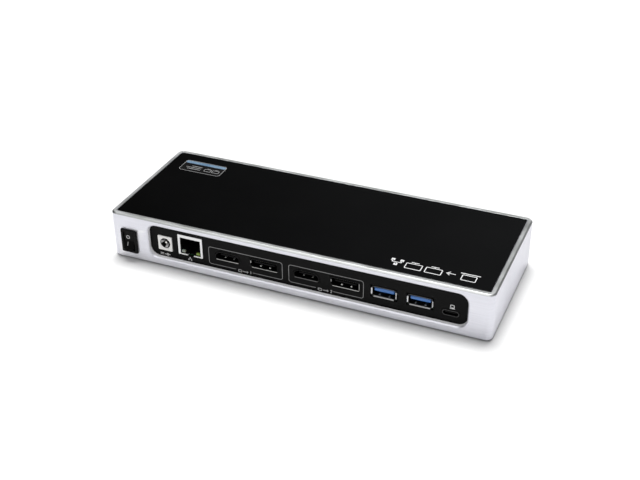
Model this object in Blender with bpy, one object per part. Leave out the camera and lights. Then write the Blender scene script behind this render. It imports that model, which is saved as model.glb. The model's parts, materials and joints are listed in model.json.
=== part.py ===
"""Laptop docking station.

A brushed aluminium frame holds a flush black top plate, a bottom cover on rubber feet and a port
panel on each long side. The rear panel carries the row of sockets, and a rocker switch sits in the
frame beside it. Units are metres. +Z is up, +X runs along the length, and the rear, with the
sockets, faces -Y. The origin is under the middle of the object, on the surface it stands on.
"""

import math

import bmesh
import bpy
from mathutils import Matrix, Vector

# Casing
LENGTH = 0.2230
WIDTH = 0.0824
HEIGHT = 0.0290
WALL = 0.0027
CORNER_RADIUS = 0.0040
RIM_CHAMFER = 0.0008
BOTTOM_RADIUS = 0.0006
FOOT_HEIGHT = 0.0009
FOOT_RADIUS = 0.0050
FOOT_INSET = (0.0150, 0.0120)

# Clearances between pieces
GAP = 0.0003
FIT = 0.0002
PIVOT_CLEARANCE = 0.0001

# Top plate and the shelf in the frame that carries it
PLATE_THICKNESS = 0.0010
PLATE_CORNER = 0.0016
SHELF_WIDTH = 0.0020
SHELF_THICKNESS = 0.0009

# Bottom cover, its vents, the frame's screw bosses and the screws
COVER_THICKNESS = 0.0015
BOSS_RADIUS = 0.0031
BOSS_BEHIND_SWITCH = 0.0051
BOSS_TOP_DROP = 0.0050
SCREW_RADIUS = 0.0015
SCREW_HEAD_RADIUS = 0.0027
SCREW_LENGTH = 0.0080
VENT_COUNT = 12
VENT_PITCH = 0.0045
VENT_SIZE = (0.0018, 0.0160)
VENT_OFFSET_X = 0.0480

# Circuit board
BOARD_TOP = 0.0089
BOARD_THICKNESS = 0.0016
BOARD_SIDE_MARGIN = 0.0080
POST_RADIUS = 0.0028
POST_INSET_X = 0.0235
POST_BEHIND_SOCKETS = 0.0012
BOARD_SCREW_RADIUS = 0.0011
BOARD_SCREW_HEAD = (0.0022, 0.0012)

# Openings in the frame's long faces and the panels behind them
OPENING_CHAMFER = 0.0007
OPENING_RADIUS = 0.0056
OPENING_BOTTOM = 0.0053
OPENING_TOP_MARGIN = 0.0035
REAR_OPENING_LEFT = 0.0237
REAR_OPENING_RIGHT = 0.0133
FRONT_OPENING_LENGTH = 0.0860
PANEL_THICKNESS = 0.0014
PANEL_OVERLAP = 0.0016

# Sockets: (width, height) of the mouth, then the walls and depths
SOCKET_PROUD = 0.0003
SHEET = 0.0004
DC_SIZE = (0.0088, 0.0092)
DC_DEPTH = 0.0130
DC_BORE_RADIUS = 0.0031
DC_BORE_DEPTH = 0.0100
DC_PIN_RADIUS = 0.0010
ETHERNET_SIZE = (0.0153, 0.0127)
ETHERNET_DEPTH = 0.0155
ETHERNET_SHEET = 0.0005
ETHERNET_BANDS = (0.0013, 0.0010, 0.0018)
ETHERNET_CAVITY = (0.0116, -0.0027, 0.0043)
ETHERNET_CAVITY_DEPTH = 0.0120
ETHERNET_LATCH = (0.0056, 0.0015)
ETHERNET_NOTCH_WIDTH = 0.0038
ETHERNET_LED = (0.0022, 0.0015, 0.0050)
VIDEO_LIFT = 0.0019
VIDEO_DEPTH = 0.0110
HDMI_SIZE = (0.0140, 0.0046)
HDMI_NARROW = 0.0098
HDMI_STEP = 0.0026
DISPLAYPORT_SIZE = (0.0161, 0.0048)
DISPLAYPORT_CUT = 0.0012
USB_A_SIZE = (0.0126, 0.0051)
USB_A_DEPTH = 0.0135
USB_A_LIFT = 0.0010
USB_A_FLARE = 0.0005
USB_C_SIZE = (0.0083, 0.0026)
USB_C_DEPTH = 0.0080
AUDIO_SIZE = (0.0066, 0.0062)
AUDIO_DEPTH = 0.0115
AUDIO_BORE_RADIUS = 0.0018
TONGUE_THICKNESS = 0.0011
INSERT_BLOCK = 0.0030

# Free length before each socket in the rear row, left to right, and after the last one
REAR_FREE = (0.0048, 0.0041, 0.0080, 0.0062, 0.0094, 0.0065, 0.0062, 0.0055, 0.0049, 0.0050)
FRONT_FREE = (0.0110, 0.0110, 0.0120, 0.0120, 0.0110)

# Power switch
SWITCH_INSET = 0.0117
SWITCH_HEIGHT = 0.0124
BEZEL_LAP = 0.0009
BEZEL_THICKNESS = 0.0010
BEZEL_CORNER = 0.0007
SWITCH_SIDE_WALL = 0.0007
SWITCH_END_WALL = 0.0005
SWITCH_BACK_WALL = 0.0014
SWITCH_DEPTH = 0.0110
ROCKER_SIZE = (0.0064, 0.0103)
ROCKER_HALF_TILT = math.radians(12.0)
ROCKER_PIVOT_DEPTH = 0.0012
ROCKER_VALLEY = 0.0020
ROCKER_BACK = 0.0015
ROCKER_STEM = (0.0017, 0.0045)
ROCKER_END_GAP = 0.0003
TRUNNION_RADIUS = 0.0008
PLUNGER_RADIUS = 0.0009
PLUNGER_LENGTH = 0.0030
PLUNGER_OUT = 0.0011
SPRING_WIRE = 0.00016
SPRING_RADIUS = 0.0008
SPRING_TURNS = 4
SEESAW_HALF_LENGTH = 0.0040
SEESAW_WIDTH = 0.0030
SEESAW_THICKNESS = 0.0004
SEESAW_BEND = math.radians(10.0)
SEESAW_HALF_TILT = math.radians(8.0)
TERMINAL_SIZE = (0.0030, 0.0006)
TERMINAL_TAIL = 0.0055

# Parts on the board: (length, width, height)
GRAPHICS_CHIP = (0.0170, 0.0170, 0.0012)
THERMAL_PAD = (0.0160, 0.0160, 0.0006)
HEATSINK = (0.0300, 0.0220, 0.0080)
HEATSINK_BASE = 0.0016
HEATSINK_FINS = 7
FIN_THICKNESS = 0.0010
HUB_CHIP = (0.0120, 0.0120, 0.0010)
TRANSFORMER = (0.0150, 0.0080, 0.0045)
INDUCTOR = (0.0070, 0.0070, 0.0032)
CAPACITOR_RADIUS = 0.0032
CAPACITOR_HEIGHT = 0.0077
STATUS_LED = (0.0016, 0.0012, 0.0008)
LIGHT_PIPE_RADIUS = 0.0010
LIGHT_PIPE_HEIGHT = 0.0140
LIGHT_PIPE_BEND = 0.0022

CORNER_STEPS = 6
ROUND_STEPS = 20

# Places worked out from the values above
PIVOT_TO_EDGE = ROCKER_VALLEY + ROCKER_SIZE[1] / 2 * math.tan(ROCKER_HALF_TILT)
ROCKER_PROUD = (
    PIVOT_TO_EDGE * math.cos(ROCKER_HALF_TILT)
    + ROCKER_SIZE[1] / 2 * math.sin(ROCKER_HALF_TILT)
    - ROCKER_PIVOT_DEPTH
)
CASE_Y = ROCKER_PROUD / 2
REAR_FACE = CASE_Y - WIDTH / 2
FRONT_FACE = CASE_Y + WIDTH / 2
REAR_PANEL_Y = REAR_FACE + WALL + GAP
FRONT_PANEL_Y = FRONT_FACE - WALL - GAP
OPENING_TOP = HEIGHT - OPENING_TOP_MARGIN
OPENING_MIDDLE = (OPENING_TOP + OPENING_BOTTOM) / 2
OPENING_HEIGHT = OPENING_TOP - OPENING_BOTTOM
REAR_OPENING_START = REAR_OPENING_LEFT - LENGTH / 2
REAR_OPENING_END = LENGTH / 2 - REAR_OPENING_RIGHT
COVER_BOTTOM = FOOT_HEIGHT + GAP
COVER_TOP = COVER_BOTTOM + COVER_THICKNESS
SHELF_TOP = HEIGHT - PLATE_THICKNESS - GAP
SHELF_BOTTOM = SHELF_TOP - SHELF_THICKNESS
PANEL_TOP = SHELF_BOTTOM - GAP
PANEL_BOTTOM = OPENING_BOTTOM - PANEL_OVERLAP
BOARD_BOTTOM = BOARD_TOP - BOARD_THICKNESS
SEAT = BOARD_TOP + GAP
DC_HEIGHT = SEAT + DC_SIZE[1] / 2
ETHERNET_HEIGHT = SEAT + ETHERNET_SIZE[1] / 2
HDMI_HEIGHT = SEAT + VIDEO_LIFT + SHEET + HDMI_SIZE[1] / 2
DISPLAYPORT_HEIGHT = SEAT + VIDEO_LIFT + SHEET + DISPLAYPORT_SIZE[1] / 2
USB_A_HEIGHT = SEAT + USB_A_LIFT + USB_A_FLARE + SHEET + USB_A_SIZE[1] / 2
USB_C_HEIGHT = SEAT + SHEET + USB_C_SIZE[1] / 2
AUDIO_HEIGHT = SEAT + AUDIO_SIZE[1] / 2
SWITCH_X = SWITCH_INSET - LENGTH / 2
SWITCH_CAVITY = (
    ROCKER_SIZE[0] + 2 * ROCKER_END_GAP,
    2
    * (
        ROCKER_SIZE[1] / 2 * math.cos(ROCKER_HALF_TILT)
        + PIVOT_TO_EDGE * math.sin(ROCKER_HALF_TILT)
        + ROCKER_END_GAP
    ),
)
SWITCH_BODY = (
    SWITCH_CAVITY[0] + 2 * SWITCH_SIDE_WALL,
    SWITCH_CAVITY[1] + 2 * SWITCH_END_WALL,
)
BEZEL_SIZE = tuple(size + 2 * BEZEL_LAP for size in SWITCH_BODY)
PIVOT_Y = REAR_FACE + ROCKER_PIVOT_DEPTH
BOSS_OFFSET_Y = WIDTH / 2 - SWITCH_DEPTH - BOSS_BEHIND_SWITCH - BOSS_RADIUS
PLUNGER_TIP = ROCKER_STEM[1] + PLUNGER_OUT
SEESAW_Y = PIVOT_Y + PLUNGER_TIP + GAP
BOARD_X = (SWITCH_X + SWITCH_BODY[0] / 2 + GAP * 3, LENGTH / 2 - WALL - BOARD_SIDE_MARGIN)
BOARD_Y = (REAR_PANEL_Y + PANEL_THICKNESS + GAP, FRONT_PANEL_Y - PANEL_THICKNESS - GAP)


def clear_scene():
    """Remove every object that the file opened with."""
    for obj in list(bpy.data.objects):
        bpy.data.objects.remove(obj)


def material(name, colour, roughness, metallic=0.0):
    """Make a Principled BSDF material of one colour."""
    made = bpy.data.materials.new(name)
    made.use_nodes = True
    shader = made.node_tree.nodes["Principled BSDF"]
    shader.inputs["Base Color"].default_value = (*colour, 1.0)
    shader.inputs["Roughness"].default_value = roughness
    shader.inputs["Metallic"].default_value = metallic
    return made


def on_axis(axis, u, v, along):
    """Turn a point of an outline into 3-D: the outline lies across the named axis."""
    if axis == "X":
        return Vector((along, u, v))
    if axis == "Y":
        return Vector((u, along, v))
    return Vector((u, v, along))


def rounded_rectangle(width, height, radius, steps=CORNER_STEPS, centre=(0.0, 0.0)):
    """Outline of a rectangle with round corners, counter-clockwise."""
    points = []
    for quarter in range(4):
        side_u = 1 if quarter in (0, 3) else -1
        side_v = 1 if quarter in (0, 1) else -1
        u = centre[0] + side_u * (width / 2 - radius)
        v = centre[1] + side_v * (height / 2 - radius)
        for step in range(steps + 1):
            angle = (quarter + step / steps) * math.pi / 2
            points.append((u + radius * math.cos(angle), v + radius * math.sin(angle)))
    return points


def offset_outline(points, distance):
    """Move each side of a convex counter-clockwise outline outwards by a distance."""
    moved = []
    count = len(points)
    for index in range(count):
        before = Vector(points[index - 1])
        here = Vector(points[index])
        after = Vector(points[(index + 1) % count])
        first = (here - before).normalized()
        second = (after - here).normalized()
        normal_1 = Vector((first.y, -first.x))
        normal_2 = Vector((second.y, -second.x))
        middle = (normal_1 + normal_2).normalized()
        moved.append(tuple(here + middle * distance / middle.dot(normal_1)))
    return moved


def rounded_outline(points, radius, steps=3):
    """Round each corner of a convex counter-clockwise outline with an arc."""
    rounded = []
    count = len(points)
    for index in range(count):
        here = Vector(points[index])
        to_before = (Vector(points[index - 1]) - here).normalized()
        to_after = (Vector(points[(index + 1) % count]) - here).normalized()
        half_angle = to_before.angle(to_after) / 2
        centre = here + (to_before + to_after).normalized() * radius / math.sin(half_angle)
        start = here + to_before * radius / math.tan(half_angle) - centre
        sweep = math.pi - 2 * half_angle
        for step in range(steps + 1):
            rounded.append(tuple(centre + Matrix.Rotation(sweep * step / steps, 2) @ start))
    return rounded


def add_loop(bm, axis, outline, along):
    """Add one outline's points to a mesh."""
    return [bm.verts.new(on_axis(axis, u, v, along)) for u, v in outline]


def bridge(bm, first, second):
    """Join two loops that have the same number of points with four-sided faces."""
    count = len(first)
    for index in range(count):
        following = (index + 1) % count
        bm.faces.new((first[index], first[following], second[following], second[index]))


def add_loft(bm, axis, stations):
    """Add a solid through outlines, each given as (outline, place along the axis)."""
    loops = [add_loop(bm, axis, outline, along) for outline, along in stations]
    for first, second in zip(loops, loops[1:]):
        bridge(bm, first, second)
    bm.faces.new(loops[0])
    bm.faces.new(loops[-1])


def add_prism(bm, axis, outline, low, high):
    """Add a solid with the same outline all the way along an axis."""
    add_loft(bm, axis, [(outline, low), (outline, high)])


def add_ring(bm, axis, stations):
    """Add a hollow ring: the outlines run round its section and back to the first."""
    loops = [add_loop(bm, axis, outline, along) for outline, along in stations]
    for first, second in zip(loops, loops[1:] + loops[:1]):
        bridge(bm, first, second)


def add_box(bm, low, high):
    """Add a box between two corners."""
    outline = [(low[0], low[1]), (high[0], low[1]), (high[0], high[1]), (low[0], high[1])]
    add_prism(bm, "Z", outline, low[2], high[2])


def add_block(bm, centre, size, bottom):
    """Add a box by its middle in plan, its size and the height of its underside."""
    low = (centre[0] - size[0] / 2, centre[1] - size[1] / 2, bottom)
    high = (centre[0] + size[0] / 2, centre[1] + size[1] / 2, bottom + size[2])
    add_box(bm, low, high)


def add_turned(bm, axis, profile, centre=(0.0, 0.0), steps=ROUND_STEPS):
    """Add a turned solid from (radius, place along the axis) points, starting and ending at a face."""
    stations = []
    for radius, along in profile:
        circle = []
        for step in range(steps):
            angle = 2 * math.pi * step / steps
            circle.append((centre[0] + radius * math.cos(angle), centre[1] + radius * math.sin(angle)))
        stations.append((circle, along))
    add_loft(bm, axis, stations)


def mesh_object(name, bm):
    """Make an object from a mesh with its faces pointing out and its round faces smooth."""
    bmesh.ops.recalc_face_normals(bm, faces=bm.faces)
    mesh = bpy.data.meshes.new(name)
    bm.to_mesh(mesh)
    bm.free()
    mesh.shade_smooth()
    mesh.set_sharp_from_angle(angle=math.radians(35.0))
    obj = bpy.data.objects.new(name, mesh)
    bpy.context.scene.collection.objects.link(obj)
    return obj


def solid(name, bm, look, place=(0.0, 0.0, 0.0), turned_round=False):
    """Make a sub-part at its place. A turned-round one faces +Y instead of -Y."""
    obj = mesh_object(name, bm)
    obj.data.materials.append(look)
    obj.location = place
    if turned_round:
        obj.rotation_euler.z = math.pi
    return obj


def combine(target, bm, operation):
    """Join a hidden helper solid to a sub-part, or cut it away, in the sub-part's own space."""
    helper = mesh_object(f"{target.name}_{operation.lower()}_{len(target.modifiers)}", bm)
    helper.parent = target
    helper.hide_render = True
    helper.display_type = "WIRE"
    modifier = target.modifiers.new(helper.name, "BOOLEAN")
    modifier.operation = operation
    modifier.solver = "EXACT"
    modifier.object = helper


def cut(target, bm):
    """Cut a shape out of a sub-part."""
    combine(target, bm, "DIFFERENCE")


def join(target, bm):
    """Join a shape to a sub-part."""
    combine(target, bm, "UNION")


def row_centres(widths, free, start, end):
    """Middles of pieces in a row, sharing out what is left of its length in the given proportions."""
    spare = (end - start - sum(widths)) / sum(free)
    centres = []
    reached = start
    for width, before in zip(widths, free):
        reached += before * spare
        centres.append(reached + width / 2)
        reached += width
    return centres


def frame_outline(inset):
    """The casing's plan outline, moved in from its outer faces."""
    radius = max(CORNER_RADIUS - inset, 0.0004)
    return rounded_rectangle(LENGTH - 2 * inset, WIDTH - 2 * inset, radius, centre=(0.0, CASE_Y))


def frame_profile():
    """The frame's wall section as (inset from the outer face, height) points."""
    points = []
    for step in range(4):
        angle = step / 3 * math.pi / 2
        inset = BOTTOM_RADIUS * (1 - math.sin(angle))
        points.append((inset, FOOT_HEIGHT + BOTTOM_RADIUS * (1 - math.cos(angle))))
    points.append((0.0, HEIGHT - RIM_CHAMFER))
    points.append((RIM_CHAMFER, HEIGHT))
    points.append((WALL, HEIGHT))
    points.append((WALL, SHELF_TOP))
    points.append((WALL + SHELF_WIDTH, SHELF_TOP))
    points.append((WALL + SHELF_WIDTH, SHELF_BOTTOM))
    points.append((WALL, SHELF_BOTTOM))
    points.append((WALL, FOOT_HEIGHT))
    return points


def add_opening(bm, start, end, face, inwards):
    """Add the shape of a chamfered opening through a long wall. inwards is +1 at the rear."""
    middle = ((start + end) / 2, OPENING_MIDDLE)
    stations = []
    for grow, depth in (
        (2 * OPENING_CHAMFER, -OPENING_CHAMFER),
        (0.0, OPENING_CHAMFER),
        (0.0, WALL + OPENING_CHAMFER),
    ):
        outline = rounded_rectangle(
            end - start + 2 * grow, OPENING_HEIGHT + 2 * grow, OPENING_RADIUS + grow, centre=middle
        )
        stations.append((outline, face + inwards * depth))
    add_loft(bm, "Y", stations)


def boss_places():
    """Middles of the frame's four screw bosses, against the short walls."""
    offset = LENGTH / 2 - WALL - BOSS_RADIUS * 0.85
    return [(x, CASE_Y + y) for x in (-offset, offset) for y in (-BOSS_OFFSET_Y, BOSS_OFFSET_Y)]


def frame(look):
    """The extruded aluminium ring with its openings, switch hole and screw bosses."""
    bm = bmesh.new()
    add_ring(bm, "Z", [(frame_outline(inset), height) for inset, height in frame_profile()])
    body = solid("aluminium_frame", bm, look)
    bosses = bmesh.new()
    for place in boss_places():
        low = COVER_TOP + GAP
        add_turned(bosses, "Z", [(BOSS_RADIUS, low), (BOSS_RADIUS, HEIGHT - BOSS_TOP_DROP)], place, 16)
    join(body, bosses)
    holes = bmesh.new()
    for place in boss_places():
        radius = SCREW_RADIUS + FIT
        add_turned(holes, "Z", [(radius, 0.0), (radius, COVER_TOP + SCREW_LENGTH)], place, 12)
    cut(body, holes)
    openings = bmesh.new()
    add_opening(openings, REAR_OPENING_START, REAR_OPENING_END, REAR_FACE, 1)
    add_opening(openings, -FRONT_OPENING_LENGTH / 2, FRONT_OPENING_LENGTH / 2, FRONT_FACE, -1)
    cut(body, openings)
    switch_hole = bmesh.new()
    outline = rounded_rectangle(
        SWITCH_BODY[0] + 2 * GAP, SWITCH_BODY[1] + 2 * GAP, 0.0004, 3, (SWITCH_X, SWITCH_HEIGHT)
    )
    add_prism(switch_hole, "Y", outline, REAR_FACE - WALL, REAR_FACE + 2 * WALL)
    cut(body, switch_hole)


def top_plate(look):
    """The flush black plate in the frame's rim."""
    inset = WALL + GAP
    bm = bmesh.new()
    outline = rounded_rectangle(
        LENGTH - 2 * inset, WIDTH - 2 * inset, PLATE_CORNER, centre=(0.0, CASE_Y)
    )
    add_prism(bm, "Z", outline, HEIGHT - PLATE_THICKNESS, HEIGHT)
    solid("top_plate", bm, look)


def post_places():
    """Middles of the four posts that carry the board, behind the deepest socket of each row."""
    x = LENGTH / 2 - POST_INSET_X
    rear_y = REAR_PANEL_Y + ETHERNET_DEPTH + POST_BEHIND_SOCKETS + POST_RADIUS
    front_y = FRONT_PANEL_Y - USB_A_DEPTH - POST_BEHIND_SOCKETS - POST_RADIUS
    return [(side * x, y) for side in (-1, 1) for y in (rear_y, front_y)]


def bottom_cover(look):
    """The plate that closes the underside, with vents, screw holes and the board's posts."""
    inset = WALL + GAP
    bm = bmesh.new()
    outline = rounded_rectangle(LENGTH - 2 * inset, WIDTH - 2 * inset, 0.0012, 3, (0.0, CASE_Y))
    add_prism(bm, "Z", outline, COVER_BOTTOM, COVER_TOP)
    cover = solid("bottom_cover", bm, look)
    posts = bmesh.new()
    for place in post_places():
        low = COVER_TOP - COVER_THICKNESS / 2
        add_turned(posts, "Z", [(POST_RADIUS, low), (POST_RADIUS, BOARD_BOTTOM - GAP)], place, 16)
    join(cover, posts)
    holes = bmesh.new()
    for place in post_places():
        radius = BOARD_SCREW_RADIUS + FIT
        add_turned(holes, "Z", [(radius, COVER_TOP), (radius, BOARD_TOP)], place, 12)
    for place in boss_places():
        wide = SCREW_HEAD_RADIUS + FIT
        narrow = SCREW_RADIUS + FIT
        slope = wide - narrow
        add_turned(
            holes,
            "Z",
            [
                (wide + FIT, COVER_BOTTOM - FIT),
                (narrow, COVER_BOTTOM + slope),
                (narrow, COVER_TOP + COVER_THICKNESS),
            ],
            place,
            16,
        )
    for side in (-1, 1):
        for row in (-1, 1):
            for index in range(VENT_COUNT):
                x = side * VENT_OFFSET_X + (index - (VENT_COUNT - 1) / 2) * VENT_PITCH
                y = CASE_Y + row * VENT_SIZE[1] * 0.75
                size = (VENT_SIZE[0], VENT_SIZE[1], 3 * COVER_THICKNESS)
                add_block(holes, (x, y), size, COVER_BOTTOM - COVER_THICKNESS)
    cut(cover, holes)


def feet(look):
    """Four round rubber feet under the cover."""
    x = LENGTH / 2 - FOOT_INSET[0]
    y = WIDTH / 2 - FOOT_INSET[1]
    places = {
        "foot_rear_left": (-x, CASE_Y - y),
        "foot_rear_right": (x, CASE_Y - y),
        "foot_front_left": (-x, CASE_Y + y),
        "foot_front_right": (x, CASE_Y + y),
    }
    edge = FOOT_HEIGHT / 4
    profile = [
        (FOOT_RADIUS - edge, 0.0),
        (FOOT_RADIUS, edge),
        (FOOT_RADIUS, FOOT_HEIGHT),
    ]
    for name, place in places.items():
        bm = bmesh.new()
        add_turned(bm, "Z", profile, steps=24)
        solid(name, bm, look, (place[0], place[1], 0.0))


def cover_screws(look):
    """Countersunk screws from below into the frame's bosses."""
    slope = SCREW_HEAD_RADIUS - SCREW_RADIUS
    for number, place in enumerate(boss_places(), 1):
        bm = bmesh.new()
        add_turned(
            bm,
            "Z",
            [(SCREW_HEAD_RADIUS, 0.0), (SCREW_RADIUS, slope), (SCREW_RADIUS, SCREW_LENGTH)],
            steps=16,
        )
        solid(f"cover_screw_{number}", bm, look, (place[0], place[1], COVER_BOTTOM))


def circuit_board(look):
    """The main board on its posts, with a hole over each post."""
    bm = bmesh.new()
    add_box(bm, (BOARD_X[0], BOARD_Y[0], BOARD_BOTTOM), (BOARD_X[1], BOARD_Y[1], BOARD_TOP))
    board = solid("main_circuit_board", bm, look)
    holes = bmesh.new()
    for place in post_places():
        radius = BOARD_SCREW_RADIUS + FIT
        add_turned(holes, "Z", [(radius, BOARD_BOTTOM - GAP), (radius, BOARD_TOP + GAP)], place, 12)
    cut(board, holes)


def board_screws(look):
    """Pan-head screws that hold the board to its posts."""
    head_radius, head_height = BOARD_SCREW_HEAD
    reach = BOARD_THICKNESS + 2 * GAP + (BOARD_BOTTOM - COVER_TOP) * 0.6
    for number, place in enumerate(post_places(), 1):
        bm = bmesh.new()
        add_turned(
            bm,
            "Z",
            [
                (BOARD_SCREW_RADIUS, -reach),
                (BOARD_SCREW_RADIUS, 0.0),
                (head_radius, 0.0),
                (head_radius, head_height * 0.6),
                (head_radius * 0.7, head_height),
            ],
            steps=12,
        )
        solid(f"board_screw_{number}", bm, look, (place[0], place[1], SEAT))


def port_panel(name, start, end, face, holes, look):
    """A flat panel behind one of the frame's openings. holes are outlines in the panel's plane."""
    width = end - start + 2 * PANEL_OVERLAP
    middle = ((start + end) / 2, (PANEL_TOP + PANEL_BOTTOM) / 2)
    outline = rounded_rectangle(width, PANEL_TOP - PANEL_BOTTOM, 0.0010, 3, middle)
    back = face + math.copysign(PANEL_THICKNESS, CASE_Y - face)
    bm = bmesh.new()
    add_prism(bm, "Y", outline, min(face, back), max(face, back))
    panel = solid(name, bm, look)
    mouths = bmesh.new()
    for hole in holes:
        add_prism(mouths, "Y", hole, min(face, back) - PANEL_THICKNESS, max(face, back) + PANEL_THICKNESS)
    cut(panel, mouths)


def moved(outline, x, z):
    """Shift an outline."""
    return [(u + x, v + z) for u, v in outline]


def hdmi_outline():
    """Mouth of an HDMI socket that is mounted with its wide side down."""
    wide = HDMI_SIZE[0] / 2
    narrow = HDMI_NARROW / 2
    low = -HDMI_SIZE[1] / 2
    high = HDMI_SIZE[1] / 2
    return [
        (-wide, low),
        (wide, low),
        (wide, low + HDMI_STEP),
        (narrow, high),
        (-narrow, high),
        (-wide, low + HDMI_STEP),
    ]


def displayport_outline():
    """Mouth of a DisplayPort socket with its cut corner at the lower left."""
    side = DISPLAYPORT_SIZE[0] / 2
    high = DISPLAYPORT_SIZE[1] / 2
    return [
        (DISPLAYPORT_CUT - side, -high),
        (side, -high),
        (side, high),
        (-side, high),
        (-side, DISPLAYPORT_CUT - high),
    ]


def rectangle_outline(size):
    """A plain rectangle round (0, 0)."""
    return [
        (-size[0] / 2, -size[1] / 2),
        (size[0] / 2, -size[1] / 2),
        (size[0] / 2, size[1] / 2),
        (-size[0] / 2, size[1] / 2),
    ]


def add_legs(bm, half_width, depth, height):
    """Add two solder legs under a shell whose middle is at the given height."""
    foot = SEAT - height
    for side in (-1, 1):
        inner = side * (half_width - SHEET / 2)
        outer = side * (half_width + SHEET)
        low = (min(inner, outer), depth * 0.45, foot)
        add_box(bm, low, (max(inner, outer), depth * 0.75, 0.0))


def sheet_shell(name, mouth, corner, depth, place, look, flare=0.0, turned_round=False):
    """A folded-sheet socket shell: a tube with legs, and a mouth that may be flared."""
    inner = rounded_outline(mouth, corner)
    outer = rounded_outline(offset_outline(mouth, SHEET), corner + SHEET)
    stations = [(inner, depth)]
    if flare > 0:
        stations.append((inner, flare))
        stations.append((rounded_outline(offset_outline(mouth, flare), corner + flare), 0.0))
        wide = offset_outline(mouth, flare + SHEET)
        stations.append((rounded_outline(wide, corner + flare + SHEET), 0.0))
        stations.append((outer, flare + SHEET / 2))
    else:
        stations.append((inner, 0.0))
        stations.append((outer, 0.0))
    stations.append((outer, depth))
    bm = bmesh.new()
    add_ring(bm, "Y", stations)
    shell = solid(name, bm, look, place, turned_round)
    legs = bmesh.new()
    half_width = max(u for u, v in mouth)
    add_legs(legs, half_width, depth, place[2])
    join(shell, legs)


def insert(name, mouth, corner, depth, tongue, setback, place, look, turned_round=False):
    """A plastic insert: a block at the back of the shell with a tongue towards its mouth.

    tongue is (width, thickness, height of its middle above the mouth's middle).
    """
    block = rounded_outline(offset_outline(mouth, -FIT), corner)
    bm = bmesh.new()
    add_prism(bm, "Y", block, depth - INSERT_BLOCK, depth)
    body = solid(name, bm, look, place, turned_round)
    blade = bmesh.new()
    width, thickness, lift = tongue
    outline = rounded_rectangle(width, thickness, thickness * 0.2, 2, (0.0, lift))
    add_prism(blade, "Y", outline, setback, depth - INSERT_BLOCK / 2)
    join(body, blade)


def dc_jack(x, body_look, pin_look):
    """The power jack: a square body with a blind bore, and its centre pin."""
    place = (x, REAR_PANEL_Y - SOCKET_PROUD, DC_HEIGHT)
    bm = bmesh.new()
    add_prism(bm, "Y", rounded_rectangle(*DC_SIZE, 0.0004, 2), 0.0, DC_DEPTH)
    body = solid("dc_jack_body", bm, body_look, place)
    bore = bmesh.new()
    add_turned(bore, "Y", [(DC_BORE_RADIUS, -GAP), (DC_BORE_RADIUS, DC_BORE_DEPTH)], steps=32)
    cut(body, bore)
    pin_hole = bmesh.new()
    radius = DC_PIN_RADIUS + FIT
    add_turned(pin_hole, "Y", [(radius, DC_BORE_DEPTH - GAP), (radius, DC_DEPTH + GAP)], steps=16)
    cut(body, pin_hole)
    pin = bmesh.new()
    tip = DC_BORE_DEPTH * 0.1
    profile = [
        (DC_PIN_RADIUS * 0.5, tip),
        (DC_PIN_RADIUS, tip + DC_PIN_RADIUS * 0.6),
        (DC_PIN_RADIUS, DC_DEPTH + 2 * GAP),
    ]
    add_turned(pin, "Y", profile, steps=16)
    solid("dc_jack_pin", pin, pin_look, place)


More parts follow.
